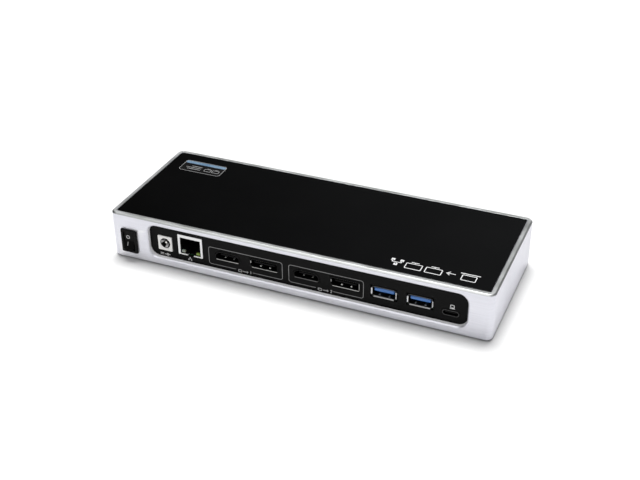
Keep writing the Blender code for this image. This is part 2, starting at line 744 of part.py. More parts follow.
def ethernet_socket(x, shell_look, insert_look, led_looks):
    """The network socket: a metal shell, an insert with the plug's cavity, and two LED windows."""
    place = (x, REAR_PANEL_Y - SOCKET_PROUD, ETHERNET_HEIGHT)
    width, height = ETHERNET_SIZE
    side_band, low_band, high_band = ETHERNET_BANDS
    inner = (width - 2 * ETHERNET_SHEET, height - 2 * ETHERNET_SHEET)
    bm = bmesh.new()
    add_prism(bm, "Y", rounded_rectangle(width, height, 0.0003, 2), 0.0, ETHERNET_DEPTH)
    shell = solid("ethernet_shell", bm, shell_look, place)
    pocket = bmesh.new()
    add_prism(pocket, "Y", rectangle_outline(inner), ETHERNET_SHEET, ETHERNET_DEPTH + GAP)
    cut(shell, pocket)
    mouth = bmesh.new()
    low = (side_band - width / 2, -GAP, low_band - height / 2)
    add_box(mouth, low, (width / 2 - side_band, 2 * ETHERNET_SHEET, height / 2 - high_band))
    cut(shell, mouth)
    notch = bmesh.new()
    half_notch = ETHERNET_NOTCH_WIDTH / 2
    low = (-half_notch, -GAP, -height / 2 - GAP)
    add_box(notch, low, (half_notch, 4 * ETHERNET_SHEET, low_band + GAP - height / 2))
    cut(shell, notch)

    front = ETHERNET_SHEET + GAP
    block = (inner[0] - 2 * GAP, inner[1] - 2 * GAP)
    bm = bmesh.new()
    add_prism(bm, "Y", rectangle_outline(block), front, ETHERNET_DEPTH - GAP)
    body = solid("ethernet_insert", bm, insert_look, place)
    cavity_width, cavity_low, cavity_high = ETHERNET_CAVITY
    latch_width, latch_drop = ETHERNET_LATCH
    cavity = bmesh.new()
    low = (-cavity_width / 2, front - GAP, cavity_low)
    add_box(cavity, low, (cavity_width / 2, ETHERNET_CAVITY_DEPTH, cavity_high))
    cut(body, cavity)
    latch = bmesh.new()
    low = (-latch_width / 2, front - GAP, cavity_low - latch_drop)
    add_box(latch, low, (latch_width / 2, ETHERNET_CAVITY_DEPTH, cavity_low + GAP))
    cut(body, latch)
    slot = bmesh.new()
    low = (-half_notch, front - GAP, -block[1] / 2 - GAP)
    add_box(slot, low, (half_notch, ETHERNET_CAVITY_DEPTH / 2, cavity_low))
    cut(body, slot)

    led_width, led_height, led_depth = ETHERNET_LED
    led_x = latch_width / 2 + 2 * GAP + led_width / 2
    led_bottom = low_band + GAP - height / 2
    led_slots = bmesh.new()
    for side in (-1, 1):
        low = (side * led_x - led_width / 2 - FIT, front - GAP, led_bottom - FIT)
        high = (side * led_x + led_width / 2 + FIT, led_depth + FIT, led_bottom + led_height + FIT)
        add_box(led_slots, low, high)
    cut(body, led_slots)
    for side, name, look in ((-1, "left", led_looks[0]), (1, "right", led_looks[1])):
        bm = bmesh.new()
        low = (side * led_x - led_width / 2, FIT, led_bottom)
        add_box(bm, low, (side * led_x + led_width / 2, led_depth, led_bottom + led_height))
        solid(f"ethernet_led_{name}", bm, look, place)


def hdmi_socket(number, x, shell_look, tongue_look):
    """A video socket with the narrow side of its mouth up."""
    place = (x, REAR_PANEL_Y - SOCKET_PROUD, HDMI_HEIGHT)
    sheet_shell(f"hdmi_shell_{number}", hdmi_outline(), 0.0003, VIDEO_DEPTH, place, shell_look)
    tongue = (HDMI_NARROW * 0.98, TONGUE_THICKNESS, 0.0002)
    insert(
        f"hdmi_tongue_{number}", hdmi_outline(), 0.0002, VIDEO_DEPTH, tongue, 0.0015, place, tongue_look
    )


def displayport_socket(number, x, shell_look, tongue_look):
    """A video socket with one cut corner."""
    place = (x, REAR_PANEL_Y - SOCKET_PROUD, DISPLAYPORT_HEIGHT)
    mouth = displayport_outline()
    sheet_shell(f"displayport_shell_{number}", mouth, 0.0003, VIDEO_DEPTH, place, shell_look)
    tongue = (DISPLAYPORT_SIZE[0] * 0.78, TONGUE_THICKNESS, 0.0001)
    insert(
        f"displayport_tongue_{number}", mouth, 0.0002, VIDEO_DEPTH, tongue, 0.0015, place, tongue_look
    )


def usb_a_socket(label, place, shell_look, tongue_look, turned_round=False):
    """A USB-A socket with a flared mouth and its tongue in the upper half."""
    mouth = rectangle_outline(USB_A_SIZE)
    sheet_shell(
        f"usb_a_shell_{label}", mouth, 0.0002, USB_A_DEPTH, place, shell_look, USB_A_FLARE, turned_round
    )
    thickness = USB_A_SIZE[1] * 0.38
    lift = USB_A_SIZE[1] / 2 - thickness / 2 - 0.0005
    tongue = (USB_A_SIZE[0] * 0.90, thickness, lift)
    name = f"usb_a_tongue_{label}"
    insert(name, mouth, 0.0001, USB_A_DEPTH, tongue, 0.0012, place, tongue_look, turned_round)


def usb_c_socket(label, place, shell_look, tongue_look, turned_round=False):
    """A USB-C socket: a round-ended shell and a thin tongue."""
    width, height = USB_C_SIZE
    inner = rounded_rectangle(width, height, height / 2 - 0.00005, 6)
    outer = rounded_rectangle(width + 2 * SHEET, height + 2 * SHEET, height / 2 + SHEET - 0.00005, 6)
    bm = bmesh.new()
    add_ring(bm, "Y", [(inner, USB_C_DEPTH), (inner, 0.0), (outer, 0.0), (outer, USB_C_DEPTH)])
    solid(f"usb_c_shell_{label}", bm, shell_look, place, turned_round)
    block = rounded_rectangle(width - 2 * FIT, height - 2 * FIT, height / 2 - FIT - 0.00005, 6)
    bm = bmesh.new()
    add_prism(bm, "Y", block, USB_C_DEPTH - INSERT_BLOCK * 0.6, USB_C_DEPTH)
    body = solid(f"usb_c_tongue_{label}", bm, tongue_look, place, turned_round)
    blade = bmesh.new()
    outline = rounded_rectangle(width * 0.78, 0.0007, 0.00015, 2)
    add_prism(blade, "Y", outline, 0.0008, USB_C_DEPTH - INSERT_BLOCK * 0.3)
    join(body, blade)


def headset_jack(place, look):
    """The 3.5 mm jack: a block with a round blind bore."""
    bm = bmesh.new()
    add_prism(bm, "Y", rounded_rectangle(*AUDIO_SIZE, 0.0004, 2), 0.0, AUDIO_DEPTH)
    body = solid("headset_jack", bm, look, place, True)
    bore = bmesh.new()
    profile = [(AUDIO_BORE_RADIUS, -GAP), (AUDIO_BORE_RADIUS, AUDIO_DEPTH * 0.9)]
    add_turned(bore, "Y", profile, steps=24)
    cut(body, bore)


def light_pipe(x, pipe_look, led_look):
    """A clear rod from the front panel down to the status LED on the board."""
    start = FRONT_PANEL_Y + SOCKET_PROUD
    end = FRONT_PANEL_Y - PANEL_THICKNESS - LIGHT_PIPE_BEND - 0.0012
    led_top = SEAT + STATUS_LED[2]
    path = [Vector((x, start, LIGHT_PIPE_HEIGHT))]
    for step in range(5):
        angle = step / 4 * math.pi / 2
        y = end + LIGHT_PIPE_BEND * (1 - math.sin(angle))
        z = LIGHT_PIPE_HEIGHT - LIGHT_PIPE_BEND * (1 - math.cos(angle))
        path.append(Vector((x, y, z)))
    path.append(Vector((x, end, led_top + GAP)))
    bm = bmesh.new()
    loops = []
    for index, point in enumerate(path):
        before = path[max(index - 1, 0)]
        after = path[min(index + 1, len(path) - 1)]
        forward = (after - before).normalized()
        across = Vector((1.0, 0.0, 0.0))
        up = across.cross(forward)
        loop = []
        for step in range(12):
            angle = 2 * math.pi * step / 12
            spoke = across * math.cos(angle) + up * math.sin(angle)
            loop.append(bm.verts.new(point + spoke * LIGHT_PIPE_RADIUS))
        loops.append(loop)
    for first, second in zip(loops, loops[1:]):
        bridge(bm, first, second)
    bm.faces.new(loops[0])
    bm.faces.new(loops[-1])
    solid("status_light_pipe", bm, pipe_look)
    bm = bmesh.new()
    add_block(bm, (x, end), STATUS_LED, SEAT)
    solid("status_led", bm, led_look)


def rear_sockets(looks):
    """Every socket of the rear row, and the panel round them."""
    usb_a_width = USB_A_SIZE[0] + 2 * (USB_A_FLARE + SHEET)
    usb_c_width = USB_C_SIZE[0] + 2 * SHEET
    hdmi_width = HDMI_SIZE[0] + 2 * SHEET
    displayport_width = DISPLAYPORT_SIZE[0] + 2 * SHEET
    widths = [DC_SIZE[0], ETHERNET_SIZE[0]]
    widths += [hdmi_width, displayport_width] * 2
    widths += [usb_a_width, usb_a_width, usb_c_width]
    centres = row_centres(widths, REAR_FREE, REAR_OPENING_START, REAR_OPENING_END)
    dc_x, ethernet_x, hdmi_1, display_1, hdmi_2, display_2, usb_1, usb_2, usb_c = centres
    front = REAR_PANEL_Y - SOCKET_PROUD

    dc_jack(dc_x, looks["jack"], looks["pin"])
    ethernet_socket(ethernet_x, looks["shell"], looks["insert"], (looks["led_clear"], looks["led_green"]))
    hdmi_socket(1, hdmi_1, looks["dark_shell"], looks["insert"])
    displayport_socket(1, display_1, looks["dark_shell"], looks["insert"])
    hdmi_socket(2, hdmi_2, looks["dark_shell"], looks["insert"])
    displayport_socket(2, display_2, looks["dark_shell"], looks["insert"])
    usb_a_socket("1", (usb_1, front, USB_A_HEIGHT), looks["shell"], looks["blue"])
    usb_a_socket("2", (usb_2, front, USB_A_HEIGHT), looks["shell"], looks["blue"])
    usb_c_socket("host", (usb_c, front, USB_C_HEIGHT), looks["dark_shell"], looks["insert"])

    dc_hole = rectangle_outline((DC_SIZE[0] + 2 * GAP, DC_SIZE[1] + 2 * GAP))
    ethernet_hole = rectangle_outline((ETHERNET_SIZE[0] + 2 * GAP, ETHERNET_SIZE[1] + 2 * GAP))
    hdmi_hole = rounded_outline(offset_outline(hdmi_outline(), SHEET + GAP), 0.0006)
    displayport_hole = rounded_outline(offset_outline(displayport_outline(), SHEET + GAP), 0.0006)
    holes = [
        moved(dc_hole, dc_x, DC_HEIGHT),
        moved(ethernet_hole, ethernet_x, ETHERNET_HEIGHT),
        moved(hdmi_hole, hdmi_1, HDMI_HEIGHT),
        moved(displayport_hole, display_1, DISPLAYPORT_HEIGHT),
        moved(hdmi_hole, hdmi_2, HDMI_HEIGHT),
        moved(displayport_hole, display_2, DISPLAYPORT_HEIGHT),
        moved(usb_a_hole(), usb_1, USB_A_HEIGHT),
        moved(usb_a_hole(), usb_2, USB_A_HEIGHT),
        moved(usb_c_hole(), usb_c, USB_C_HEIGHT),
    ]
    port_panel(
        "rear_port_panel", REAR_OPENING_START, REAR_OPENING_END, REAR_PANEL_Y, holes, looks["panel"]
    )


def usb_a_hole():
    """The panel's hole round a USB-A shell's flared mouth."""
    grow = 2 * (USB_A_FLARE + SHEET + GAP)
    return rectangle_outline((USB_A_SIZE[0] + grow, USB_A_SIZE[1] + grow))


def usb_c_hole():
    """The panel's hole round a USB-C shell."""
    grow = 2 * (SHEET + GAP)
    height = USB_C_SIZE[1] + grow
    return rounded_rectangle(USB_C_SIZE[0] + grow, height, height / 2 - 0.00005, 6)


def front_sockets(looks):
    """The sockets for the desk side of the dock, its status light, and the panel round them."""
    usb_a_width = USB_A_SIZE[0] + 2 * (USB_A_FLARE + SHEET)
    widths = [2 * LIGHT_PIPE_RADIUS, USB_C_SIZE[0] + 2 * SHEET, usb_a_width, AUDIO_SIZE[0]]
    start = -FRONT_OPENING_LENGTH / 2
    centres = row_centres(widths, FRONT_FREE, start, -start)
    light_x, usb_c, usb_a, audio_x = centres
    face = FRONT_PANEL_Y + SOCKET_PROUD
    usb_c_socket("front", (usb_c, face, USB_C_HEIGHT), looks["dark_shell"], looks["insert"], True)
    usb_a_socket("front", (usb_a, face, USB_A_HEIGHT), looks["shell"], looks["blue"], True)
    headset_jack((audio_x, face, AUDIO_HEIGHT), looks["insert"])
    light_pipe(light_x, looks["pipe"], looks["led_green"])
    light_hole = 2 * (LIGHT_PIPE_RADIUS + GAP)
    audio_hole = rectangle_outline((AUDIO_SIZE[0] + 2 * GAP, AUDIO_SIZE[1] + 2 * GAP))
    holes = [
        moved(rounded_rectangle(light_hole, light_hole, light_hole / 2.01, 4), light_x, LIGHT_PIPE_HEIGHT),
        moved(usb_c_hole(), usb_c, USB_C_HEIGHT),
        moved(usb_a_hole(), usb_a, USB_A_HEIGHT),
        moved(audio_hole, audio_x, AUDIO_HEIGHT),
    ]
    port_panel("front_port_panel", start, -start, FRONT_PANEL_Y, holes, looks["panel"])


def switch_housing(look):
    """The switch's bezel and body, open at the front, with holes for the trunnions and terminals."""
    place = (SWITCH_X, REAR_FACE, SWITCH_HEIGHT)
    bm = bmesh.new()
    bezel = rounded_rectangle(*BEZEL_SIZE, BEZEL_CORNER, 3)
    front = rounded_rectangle(BEZEL_SIZE[0] - 0.0004, BEZEL_SIZE[1] - 0.0004, BEZEL_CORNER, 3)
    add_loft(
        bm, "Y", [(front, -GAP - BEZEL_THICKNESS), (bezel, -BEZEL_THICKNESS), (bezel, -GAP)]
    )
    housing = solid("switch_housing", bm, look, place)
    body = bmesh.new()
    add_prism(body, "Y", rectangle_outline(SWITCH_BODY), -BEZEL_THICKNESS, SWITCH_DEPTH)
    join(housing, body)
    cavity = bmesh.new()
    floor = SWITCH_DEPTH - SWITCH_BACK_WALL
    add_prism(cavity, "Y", rectangle_outline(SWITCH_CAVITY), -2 * BEZEL_THICKNESS, floor)
    cut(housing, cavity)
    holes = bmesh.new()
    radius = TRUNNION_RADIUS + PIVOT_CLEARANCE
    half = SWITCH_BODY[0] / 2 + GAP
    add_turned(holes, "X", [(radius, -half), (radius, half)], (ROCKER_PIVOT_DEPTH, 0.0), 16)
    cut(housing, holes)
    slots = bmesh.new()
    half_width = TERMINAL_SIZE[0] / 2 + FIT
    half_height = TERMINAL_SIZE[1] / 2 + FIT
    for z in terminal_heights():
        low = (-half_width, SWITCH_DEPTH - 2 * SWITCH_BACK_WALL, z - half_height)
        add_box(slots, low, (half_width, SWITCH_DEPTH + GAP, z + half_height))
    cut(housing, slots)


def terminal_heights():
    """Heights of the common and the switched terminal, from the switch's middle."""
    return (0.0, SEESAW_HALF_LENGTH * 0.85)


def rocker(look):
    """The rocker, tilted so that its upper half is pressed. Its origin is on its pivot."""
    half = ROCKER_SIZE[1] / 2
    stem_half, stem_end = ROCKER_STEM
    profile = [
        (-ROCKER_VALLEY, 0.0),
        (-PIVOT_TO_EDGE, -half),
        (ROCKER_BACK * 0.3, -half),
        (ROCKER_BACK, -half * 0.80),
        (ROCKER_BACK, -stem_half),
        (stem_end, -stem_half),
        (stem_end, stem_half),
        (ROCKER_BACK, stem_half),
        (ROCKER_BACK, half * 0.80),
        (ROCKER_BACK * 0.3, half),
        (-PIVOT_TO_EDGE, half),
    ]
    bm = bmesh.new()
    add_prism(bm, "X", profile, -ROCKER_SIZE[0] / 2, ROCKER_SIZE[0] / 2)
    body = solid("switch_rocker", bm, look, (SWITCH_X, PIVOT_Y, SWITCH_HEIGHT))
    body.rotation_euler.x = -ROCKER_HALF_TILT
    trunnions = bmesh.new()
    reach = SWITCH_BODY[0] / 2 - FIT
    add_turned(trunnions, "X", [(TRUNNION_RADIUS, -reach), (TRUNNION_RADIUS, reach)], steps=16)
    join(body, trunnions)
    bore = bmesh.new()
    radius = PLUNGER_RADIUS + FIT
    add_turned(bore, "Y", [(radius, bore_floor()), (radius, stem_end + GAP)], steps=16)
    cut(body, bore)


def bore_floor():
    """Depth of the rocker's blind bore, from its pivot."""
    return -ROCKER_VALLEY * 0.25


def switch_inner_parts(spring_look, plunger_look):
    """The spring and the plunger in the rocker's bore, tilted with it."""
    place = (SWITCH_X, PIVOT_Y, SWITCH_HEIGHT)
    plunger_start = PLUNGER_TIP - PLUNGER_LENGTH
    profile = [(PLUNGER_RADIUS, plunger_start), (PLUNGER_RADIUS, PLUNGER_TIP - PLUNGER_RADIUS)]
    for step in range(1, 4):
        angle = step / 4 * math.pi / 2
        along = PLUNGER_TIP - PLUNGER_RADIUS * (1 - math.sin(angle))
        profile.append((PLUNGER_RADIUS * math.cos(angle), along))
    bm = bmesh.new()
    add_turned(bm, "Y", profile, steps=12)
    plunger = solid("switch_plunger", bm, plunger_look, place)
    plunger.rotation_euler.x = -ROCKER_HALF_TILT

    start = bore_floor() + FIT + SPRING_WIRE
    length = plunger_start - FIT - SPRING_WIRE - start
    steps = SPRING_TURNS * 10
    bm = bmesh.new()
    loops = []
    for index in range(steps + 1):
        angle = 2 * math.pi * index / 10
        outwards = Vector((math.cos(angle), 0.0, math.sin(angle)))
        centre = outwards * SPRING_RADIUS + Vector((0.0, start + length * index / steps, 0.0))
        loop = []
        for corner in range(5):
            turn = 2 * math.pi * corner / 5
            spoke = outwards * math.cos(turn) + Vector((0.0, math.sin(turn), 0.0))
            loop.append(bm.verts.new(centre + spoke * SPRING_WIRE))
        loops.append(loop)
    for first, second in zip(loops, loops[1:]):
        bridge(bm, first, second)
    bm.faces.new(loops[0])
    bm.faces.new(loops[-1])
    spring = solid("switch_spring", bm, spring_look, place)
    spring.rotation_euler.x = -ROCKER_HALF_TILT


def switch_contact(look):
    """The see-saw contact bar: a shallow V, tilted by the plunger. Its origin is on its pivot."""
    reach = SEESAW_HALF_LENGTH * math.cos(SEESAW_BEND)
    rise = SEESAW_HALF_LENGTH * math.sin(SEESAW_BEND)
    thickness = SEESAW_THICKNESS
    profile = [
        (-thickness, 0.0),
        (-thickness - rise, -reach),
        (-rise, -reach),
        (0.0, 0.0),
        (-rise, reach),
        (-thickness - rise, reach),
    ]
    bm = bmesh.new()
    add_prism(bm, "X", profile, -SEESAW_WIDTH / 2, SEESAW_WIDTH / 2)
    place = (SWITCH_X, SEESAW_Y + thickness, SWITCH_HEIGHT)
    bar = solid("switch_contact", bm, look, place)
    bar.rotation_euler.x = SEESAW_HALF_TILT


def switch_terminals(look):
    """The common terminal under the see-saw's pivot and the switched one under its upper end."""
    closed_angle = SEESAW_BEND - SEESAW_HALF_TILT
    pivot = SEESAW_Y + SEESAW_THICKNESS
    common, switched = terminal_heights()
    starts = {
        "switch_terminal_common": (common, pivot + GAP),
        "switch_terminal_switched": (switched, pivot - switched * math.tan(closed_angle) + 2 * GAP),
    }
    for name, (height, start) in starts.items():
        bm = bmesh.new()
        width, thickness = TERMINAL_SIZE
        low = (-width / 2, 0.0, -thickness / 2)
        end = REAR_FACE + SWITCH_DEPTH + TERMINAL_TAIL - start
        add_box(bm, low, (width / 2, end, thickness / 2))
        solid(name, bm, look, (SWITCH_X, start, SWITCH_HEIGHT + height))


def heatsink(place, bottom, look):
    """A finned heatsink."""
    length, width, height = HEATSINK
    bm = bmesh.new()
    pitch = (length - FIN_THICKNESS) / (HEATSINK_FINS - 1)
    outline = [(-length / 2, 0.0), (length / 2, 0.0)]
    for index in range(HEATSINK_FINS - 1, -1, -1):
        left = index * pitch - length / 2
        outline.append((left + FIN_THICKNESS, height))
        outline.append((left, height))
        if index > 0:
            outline.append((left, HEATSINK_BASE))
            outline.append((left - pitch + FIN_THICKNESS, HEATSINK_BASE))
    add_prism(bm, "Y", outline, -width / 2, width / 2)
    solid("heatsink", bm, look, (place[0], place[1], bottom))


def board_parts(looks):
    """The larger components on the board."""
    middle = (BOARD_Y[0] + BOARD_Y[1]) / 2
    graphics = (0.0, middle)
    bm = bmesh.new()
    add_block(bm, graphics, GRAPHICS_CHIP, SEAT)
    solid("graphics_chip", bm, looks["chip"])
    pad_bottom = SEAT + GRAPHICS_CHIP[2] + GAP
    bm = bmesh.new()
    add_block(bm, graphics, THERMAL_PAD, pad_bottom)
    solid("thermal_pad", bm, looks["thermal"])
    heatsink(graphics, pad_bottom + THERMAL_PAD[2] + GAP, looks["heatsink"])
    bm = bmesh.new()
    add_block(bm, (LENGTH * 0.28, middle), HUB_CHIP, SEAT)
    solid("usb_hub_chip", bm, looks["chip"])
    bm = bmesh.new()
    add_block(bm, (-LENGTH * 0.27, middle), TRANSFORMER, SEAT)
    solid("ethernet_transformer", bm, looks["chip"])
    bm = bmesh.new()
    add_block(bm, (-LENGTH * 0.14, middle), INDUCTOR, SEAT)
    solid("inductor", bm, looks["ferrite"])
    bm = bmesh.new()
    groove = CAPACITOR_HEIGHT * 0.12
    profile = [
        (CAPACITOR_RADIUS, 0.0),
        (CAPACITOR_RADIUS, groove),
        (CAPACITOR_RADIUS * 0.92, groove * 1.5),
        (CAPACITOR_RADIUS, groove * 2),
        (CAPACITOR_RADIUS, CAPACITOR_HEIGHT),
    ]
    add_turned(bm, "Z", profile, steps=16)
    solid("capacitor", bm, looks["can"], (-LENGTH * 0.19, middle, SEAT))


def make_looks():
    """One material for each kind of surface."""
    return {
        "aluminium": material("brushed_aluminium", (0.72, 0.72, 0.75), 0.32, 1.0),
        "plate": material("black_top_plate", (0.012, 0.012, 0.012), 0.22),
        "cover": material("black_bottom_cover", (0.020, 0.020, 0.022), 0.45),
        "panel": material("black_port_panel", (0.018, 0.018, 0.020), 0.40),
        "rubber": material("rubber_foot", (0.025, 0.025, 0.025), 0.85),
        "screw": material("screw_steel", (0.30, 0.30, 0.31), 0.35, 1.0),
        "jack": material("jack_white_plastic", (0.78, 0.77, 0.74), 0.40),
        "pin": material("jack_pin_metal", (0.80, 0.80, 0.78), 0.25, 1.0),
        "shell": material("bright_shell_metal", (0.80, 0.80, 0.78), 0.28, 1.0),
        "dark_shell": material("dark_shell_metal", (0.10, 0.10, 0.10), 0.35, 1.0),
        "insert": material("black_insert_plastic", (0.015, 0.015, 0.016), 0.45),
        "blue": material("blue_tongue_plastic", (0.035, 0.150, 0.520), 0.40),
        "led_clear": material("led_clear_window", (0.55, 0.55, 0.50), 0.20),
        "led_green": material("led_green_window", (0.45, 0.60, 0.10), 0.20),
        "pipe": material("light_pipe_clear", (0.85, 0.87, 0.88), 0.10),
        "switch": material("black_switch_plastic", (0.016, 0.016, 0.018), 0.38),
        "spring": material("spring_steel", (0.55, 0.55, 0.56), 0.30, 1.0),
        "contact": material("contact_brass", (0.75, 0.60, 0.32), 0.30, 1.0),
        "board": material("green_circuit_board", (0.020, 0.140, 0.060), 0.45),
        "chip": material("black_chip_resin", (0.030, 0.030, 0.032), 0.55),
        "thermal": material("grey_thermal_pad", (0.45, 0.47, 0.50), 0.80),
        "heatsink": material("black_anodised_heatsink", (0.06, 0.06, 0.065), 0.45, 1.0),
        "ferrite": material("grey_ferrite", (0.12, 0.12, 0.12), 0.60),
        "can": material("capacitor_can", (0.70, 0.70, 0.72), 0.30, 1.0),
    }


def main():
    clear_scene()
    looks = make_looks()
    frame(looks["aluminium"])
    top_plate(looks["plate"])
    bottom_cover(looks["cover"])
    feet(looks["rubber"])
    cover_screws(looks["screw"])
    rear_sockets(looks)
    front_sockets(looks)
    circuit_board(looks["board"])
    board_screws(looks["screw"])
    board_parts(looks)
    switch_housing(looks["switch"])
    rocker(looks["switch"])
    switch_inner_parts(looks["spring"], looks["contact"])
    switch_contact(looks["contact"])
    switch_terminals(looks["contact"])


main()
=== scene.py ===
import json
from math import atan, cos, pi, radians, sin, tan

import bmesh
import bpy
from mathutils import Matrix, Vector


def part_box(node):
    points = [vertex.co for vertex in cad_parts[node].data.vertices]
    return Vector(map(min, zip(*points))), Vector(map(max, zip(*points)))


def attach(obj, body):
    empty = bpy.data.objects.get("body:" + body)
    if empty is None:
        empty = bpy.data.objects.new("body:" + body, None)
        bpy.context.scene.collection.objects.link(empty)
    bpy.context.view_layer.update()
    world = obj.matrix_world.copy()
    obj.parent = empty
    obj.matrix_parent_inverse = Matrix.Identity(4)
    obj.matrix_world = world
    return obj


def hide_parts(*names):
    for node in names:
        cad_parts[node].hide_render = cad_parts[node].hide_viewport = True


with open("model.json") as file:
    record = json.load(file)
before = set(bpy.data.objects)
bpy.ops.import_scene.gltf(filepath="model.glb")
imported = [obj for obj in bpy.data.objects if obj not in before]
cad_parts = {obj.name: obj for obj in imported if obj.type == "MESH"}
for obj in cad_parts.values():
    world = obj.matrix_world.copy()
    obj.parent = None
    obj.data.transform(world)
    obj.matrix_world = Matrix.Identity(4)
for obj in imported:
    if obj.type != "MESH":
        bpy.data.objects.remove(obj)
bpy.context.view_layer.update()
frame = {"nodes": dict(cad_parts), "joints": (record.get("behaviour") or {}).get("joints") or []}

MM = 0.001

# Casing and port sizes that the CAD model is built on
WALL = 2.7 * MM
GAP = 0.3 * MM
FIT = 0.2 * MM
CORNER_RADIUS = 4.0 * MM
LEAST_CORNER = 0.4 * MM
RIM_CHAMFER = 0.8 * MM
BOTTOM_RADIUS = 0.6 * MM
SHELF_WIDTH = 2.0 * MM
SHELF_THICKNESS = 0.9 * MM
PLATE_THICKNESS = 1.0 * MM
PLATE_CORNER = 1.6 * MM
OPENING_CHAMFER = 0.7 * MM
OPENING_RADIUS = 5.6 * MM
OPENING_TOP_MARGIN = 3.5 * MM
PANEL_OVERLAP = 1.6 * MM
BOSS_RADIUS = 3.1 * MM
BOSS_TOP_DROP = 5.0 * MM
SCREW_RADIUS = 1.5 * MM
SCREW_HEAD_RADIUS = 2.7 * MM
SHEET = 0.4 * MM
HDMI_SIZE = (14.0 * MM, 4.6 * MM)
HDMI_NARROW = 9.8 * MM
HDMI_STEP = 2.6 * MM
DISPLAYPORT_SIZE = (16.1 * MM, 4.8 * MM)
DISPLAYPORT_CUT = 1.2 * MM
USB_A_SIZE = (12.6 * MM, 5.1 * MM)
USB_A_FLARE = 0.5 * MM
USB_C_SIZE = (8.3 * MM, 2.6 * MM)
DC_BORE_RADIUS = 3.1 * MM
AUDIO_BORE_RADIUS = 1.8 * MM
ETHERNET_SHEET = 0.5 * MM
ETHERNET_BANDS = (1.3 * MM, 1.0 * MM, 1.8 * MM)
ETHERNET_NOTCH = 3.8 * MM
ETHERNET_LOW_SHARE = 0.6  # the part of the low band that shows as metal
ROCKER_TILT = radians(12.0)
ROCKER_VALLEY = 2.0 * MM
ROCKER_HALF = 5.15 * MM
ROCKER_SAG = 0.04 * MM
ROCKER_WIDTH = 6.4 * MM
BEZEL_LAP = 0.9 * MM

# Underside vents, seen from above: width and length, how many in a row, how far apart (in mm), and
# the middle of a block of them
VENT_SIZE = (1.8 * MM, 16 * MM)
VENT_COUNT = 12
VENT_PITCH = 4.5
VENT_BLOCK = (48 * MM, 12 * MM)
POST_RADIUS = 2.8 * MM
FOOT_EDGE = 0.45 * MM

# Printing and thin layers
INK = 0.012 * MM
PLATE_DROP = 0.045 * MM
PICTOGRAM_PLACE = (76.3 * MM, -29.6 * MM)
LABEL_PLACE = (-86.9 * MM, 24.45 * MM)
LABEL_SIZE = (27.4 * MM, 12.5 * MM)

# Camera, in the row frame
CAMERA_PLACE = Vector((0.20575, -0.48197, 0.33824))
CAMERA_TARGET = Vector((0.00123, -0.00183, 0.01450))
CAMERA_ROLL = radians(-0.488)
CAMERA_LENS = 61.33

ARC_STEPS = 12


# Materials

def mm(*values):
    """Millimetres as metres, in a tuple."""
    return tuple(value * MM for value in values)


def node(tree, kind, inputs, **settings):
    """Add a shader node; an input may be a value or another node's output."""
    made = tree.nodes.new(kind)
    for key, value in settings.items():
        setattr(made, key, value)
    for key, value in inputs.items():
        if isinstance(value, bpy.types.NodeSocket):
            tree.links.new(value, made.inputs[key])
        else:
            made.inputs[key].default_value = value
    return made


def colour(value):
    """A grey level or an (r, g, b) as an RGBA colour."""
    if isinstance(value, (int, float)):
        value = (value, value, value)
    return (*value, 1.0)


def mix_colours(tree, factor, first, second):
    """Mix two colours by a socket and return the result's socket."""
    made = node(tree, "ShaderNodeMix", {0: factor, 6: first, 7: second}, data_type="RGBA")
    return made.outputs[2]


def spread(tree, value, low, high, first, last):
    """Map a socket's range to another one."""
    inputs = {"Value": value, "From Min": low, "From Max": high, "To Min": first, "To Max": last}
    return node(tree, "ShaderNodeMapRange", inputs).outputs["Result"]


def look(name, dark, light, roughness, metallic=0.0, grain=2500.0, stretch=(1.0, 1.0, 1.0), blotch=45.0,
        bump=0.15, depth=0.02 * MM, edge_highlight=None, **sockets):
    """A Principled material with fine grain, broad mottling, varied roughness and bump.

    The colour given for the outer edges is one that they turn towards: a painted highlight along the
    edges.
    """
    made = bpy.data.materials.new(name)
    made.use_nodes = True
    tree = made.node_tree
    shader = tree.nodes["Principled BSDF"]
    place = node(tree, "ShaderNodeTexCoord", {}).outputs["Object"]
    stretched = node(tree, "ShaderNodeMapping", {"Vector": place, "Scale": stretch}).outputs[0]
    fine = node(tree, "ShaderNodeTexNoise", {"Vector": stretched, "Scale": grain, "Detail": 4.0})
    broad = node(tree, "ShaderNodeTexNoise", {"Vector": place, "Scale": blotch, "Detail": 3.0})
    total = node(tree, "ShaderNodeMath", {0: fine.outputs[0], 1: broad.outputs[0]}, operation="ADD")
    share = spread(tree, total.outputs[0], 0.75, 1.25, 0.0, 1.0)
    base = mix_colours(tree, share, colour(dark), colour(light))
    if edge_highlight is not None:
        # convex edges turn towards the given colour: a painted highlight
        shape = node(tree, "ShaderNodeNewGeometry", {}).outputs["Pointiness"]
        edge = spread(tree, shape, 0.53, 0.62, 0.0, 0.6)
        base = mix_colours(tree, edge, base, colour(edge_highlight))
    tree.links.new(base, shader.inputs["Base Color"])
    rough = spread(tree, total.outputs[0], 0.7, 1.3, roughness[0], roughness[1])
    tree.links.new(rough, shader.inputs["Roughness"])
    raised = {"Height": fine.outputs[0], "Strength": bump, "Distance": depth}
    tree.links.new(node(tree, "ShaderNodeBump", raised).outputs[0], shader.inputs["Normal"])
    shader.inputs["Metallic"].default_value = metallic
    for key, value in sockets.items():
        shader.inputs[key.replace("_", " ")].default_value = value
    return made


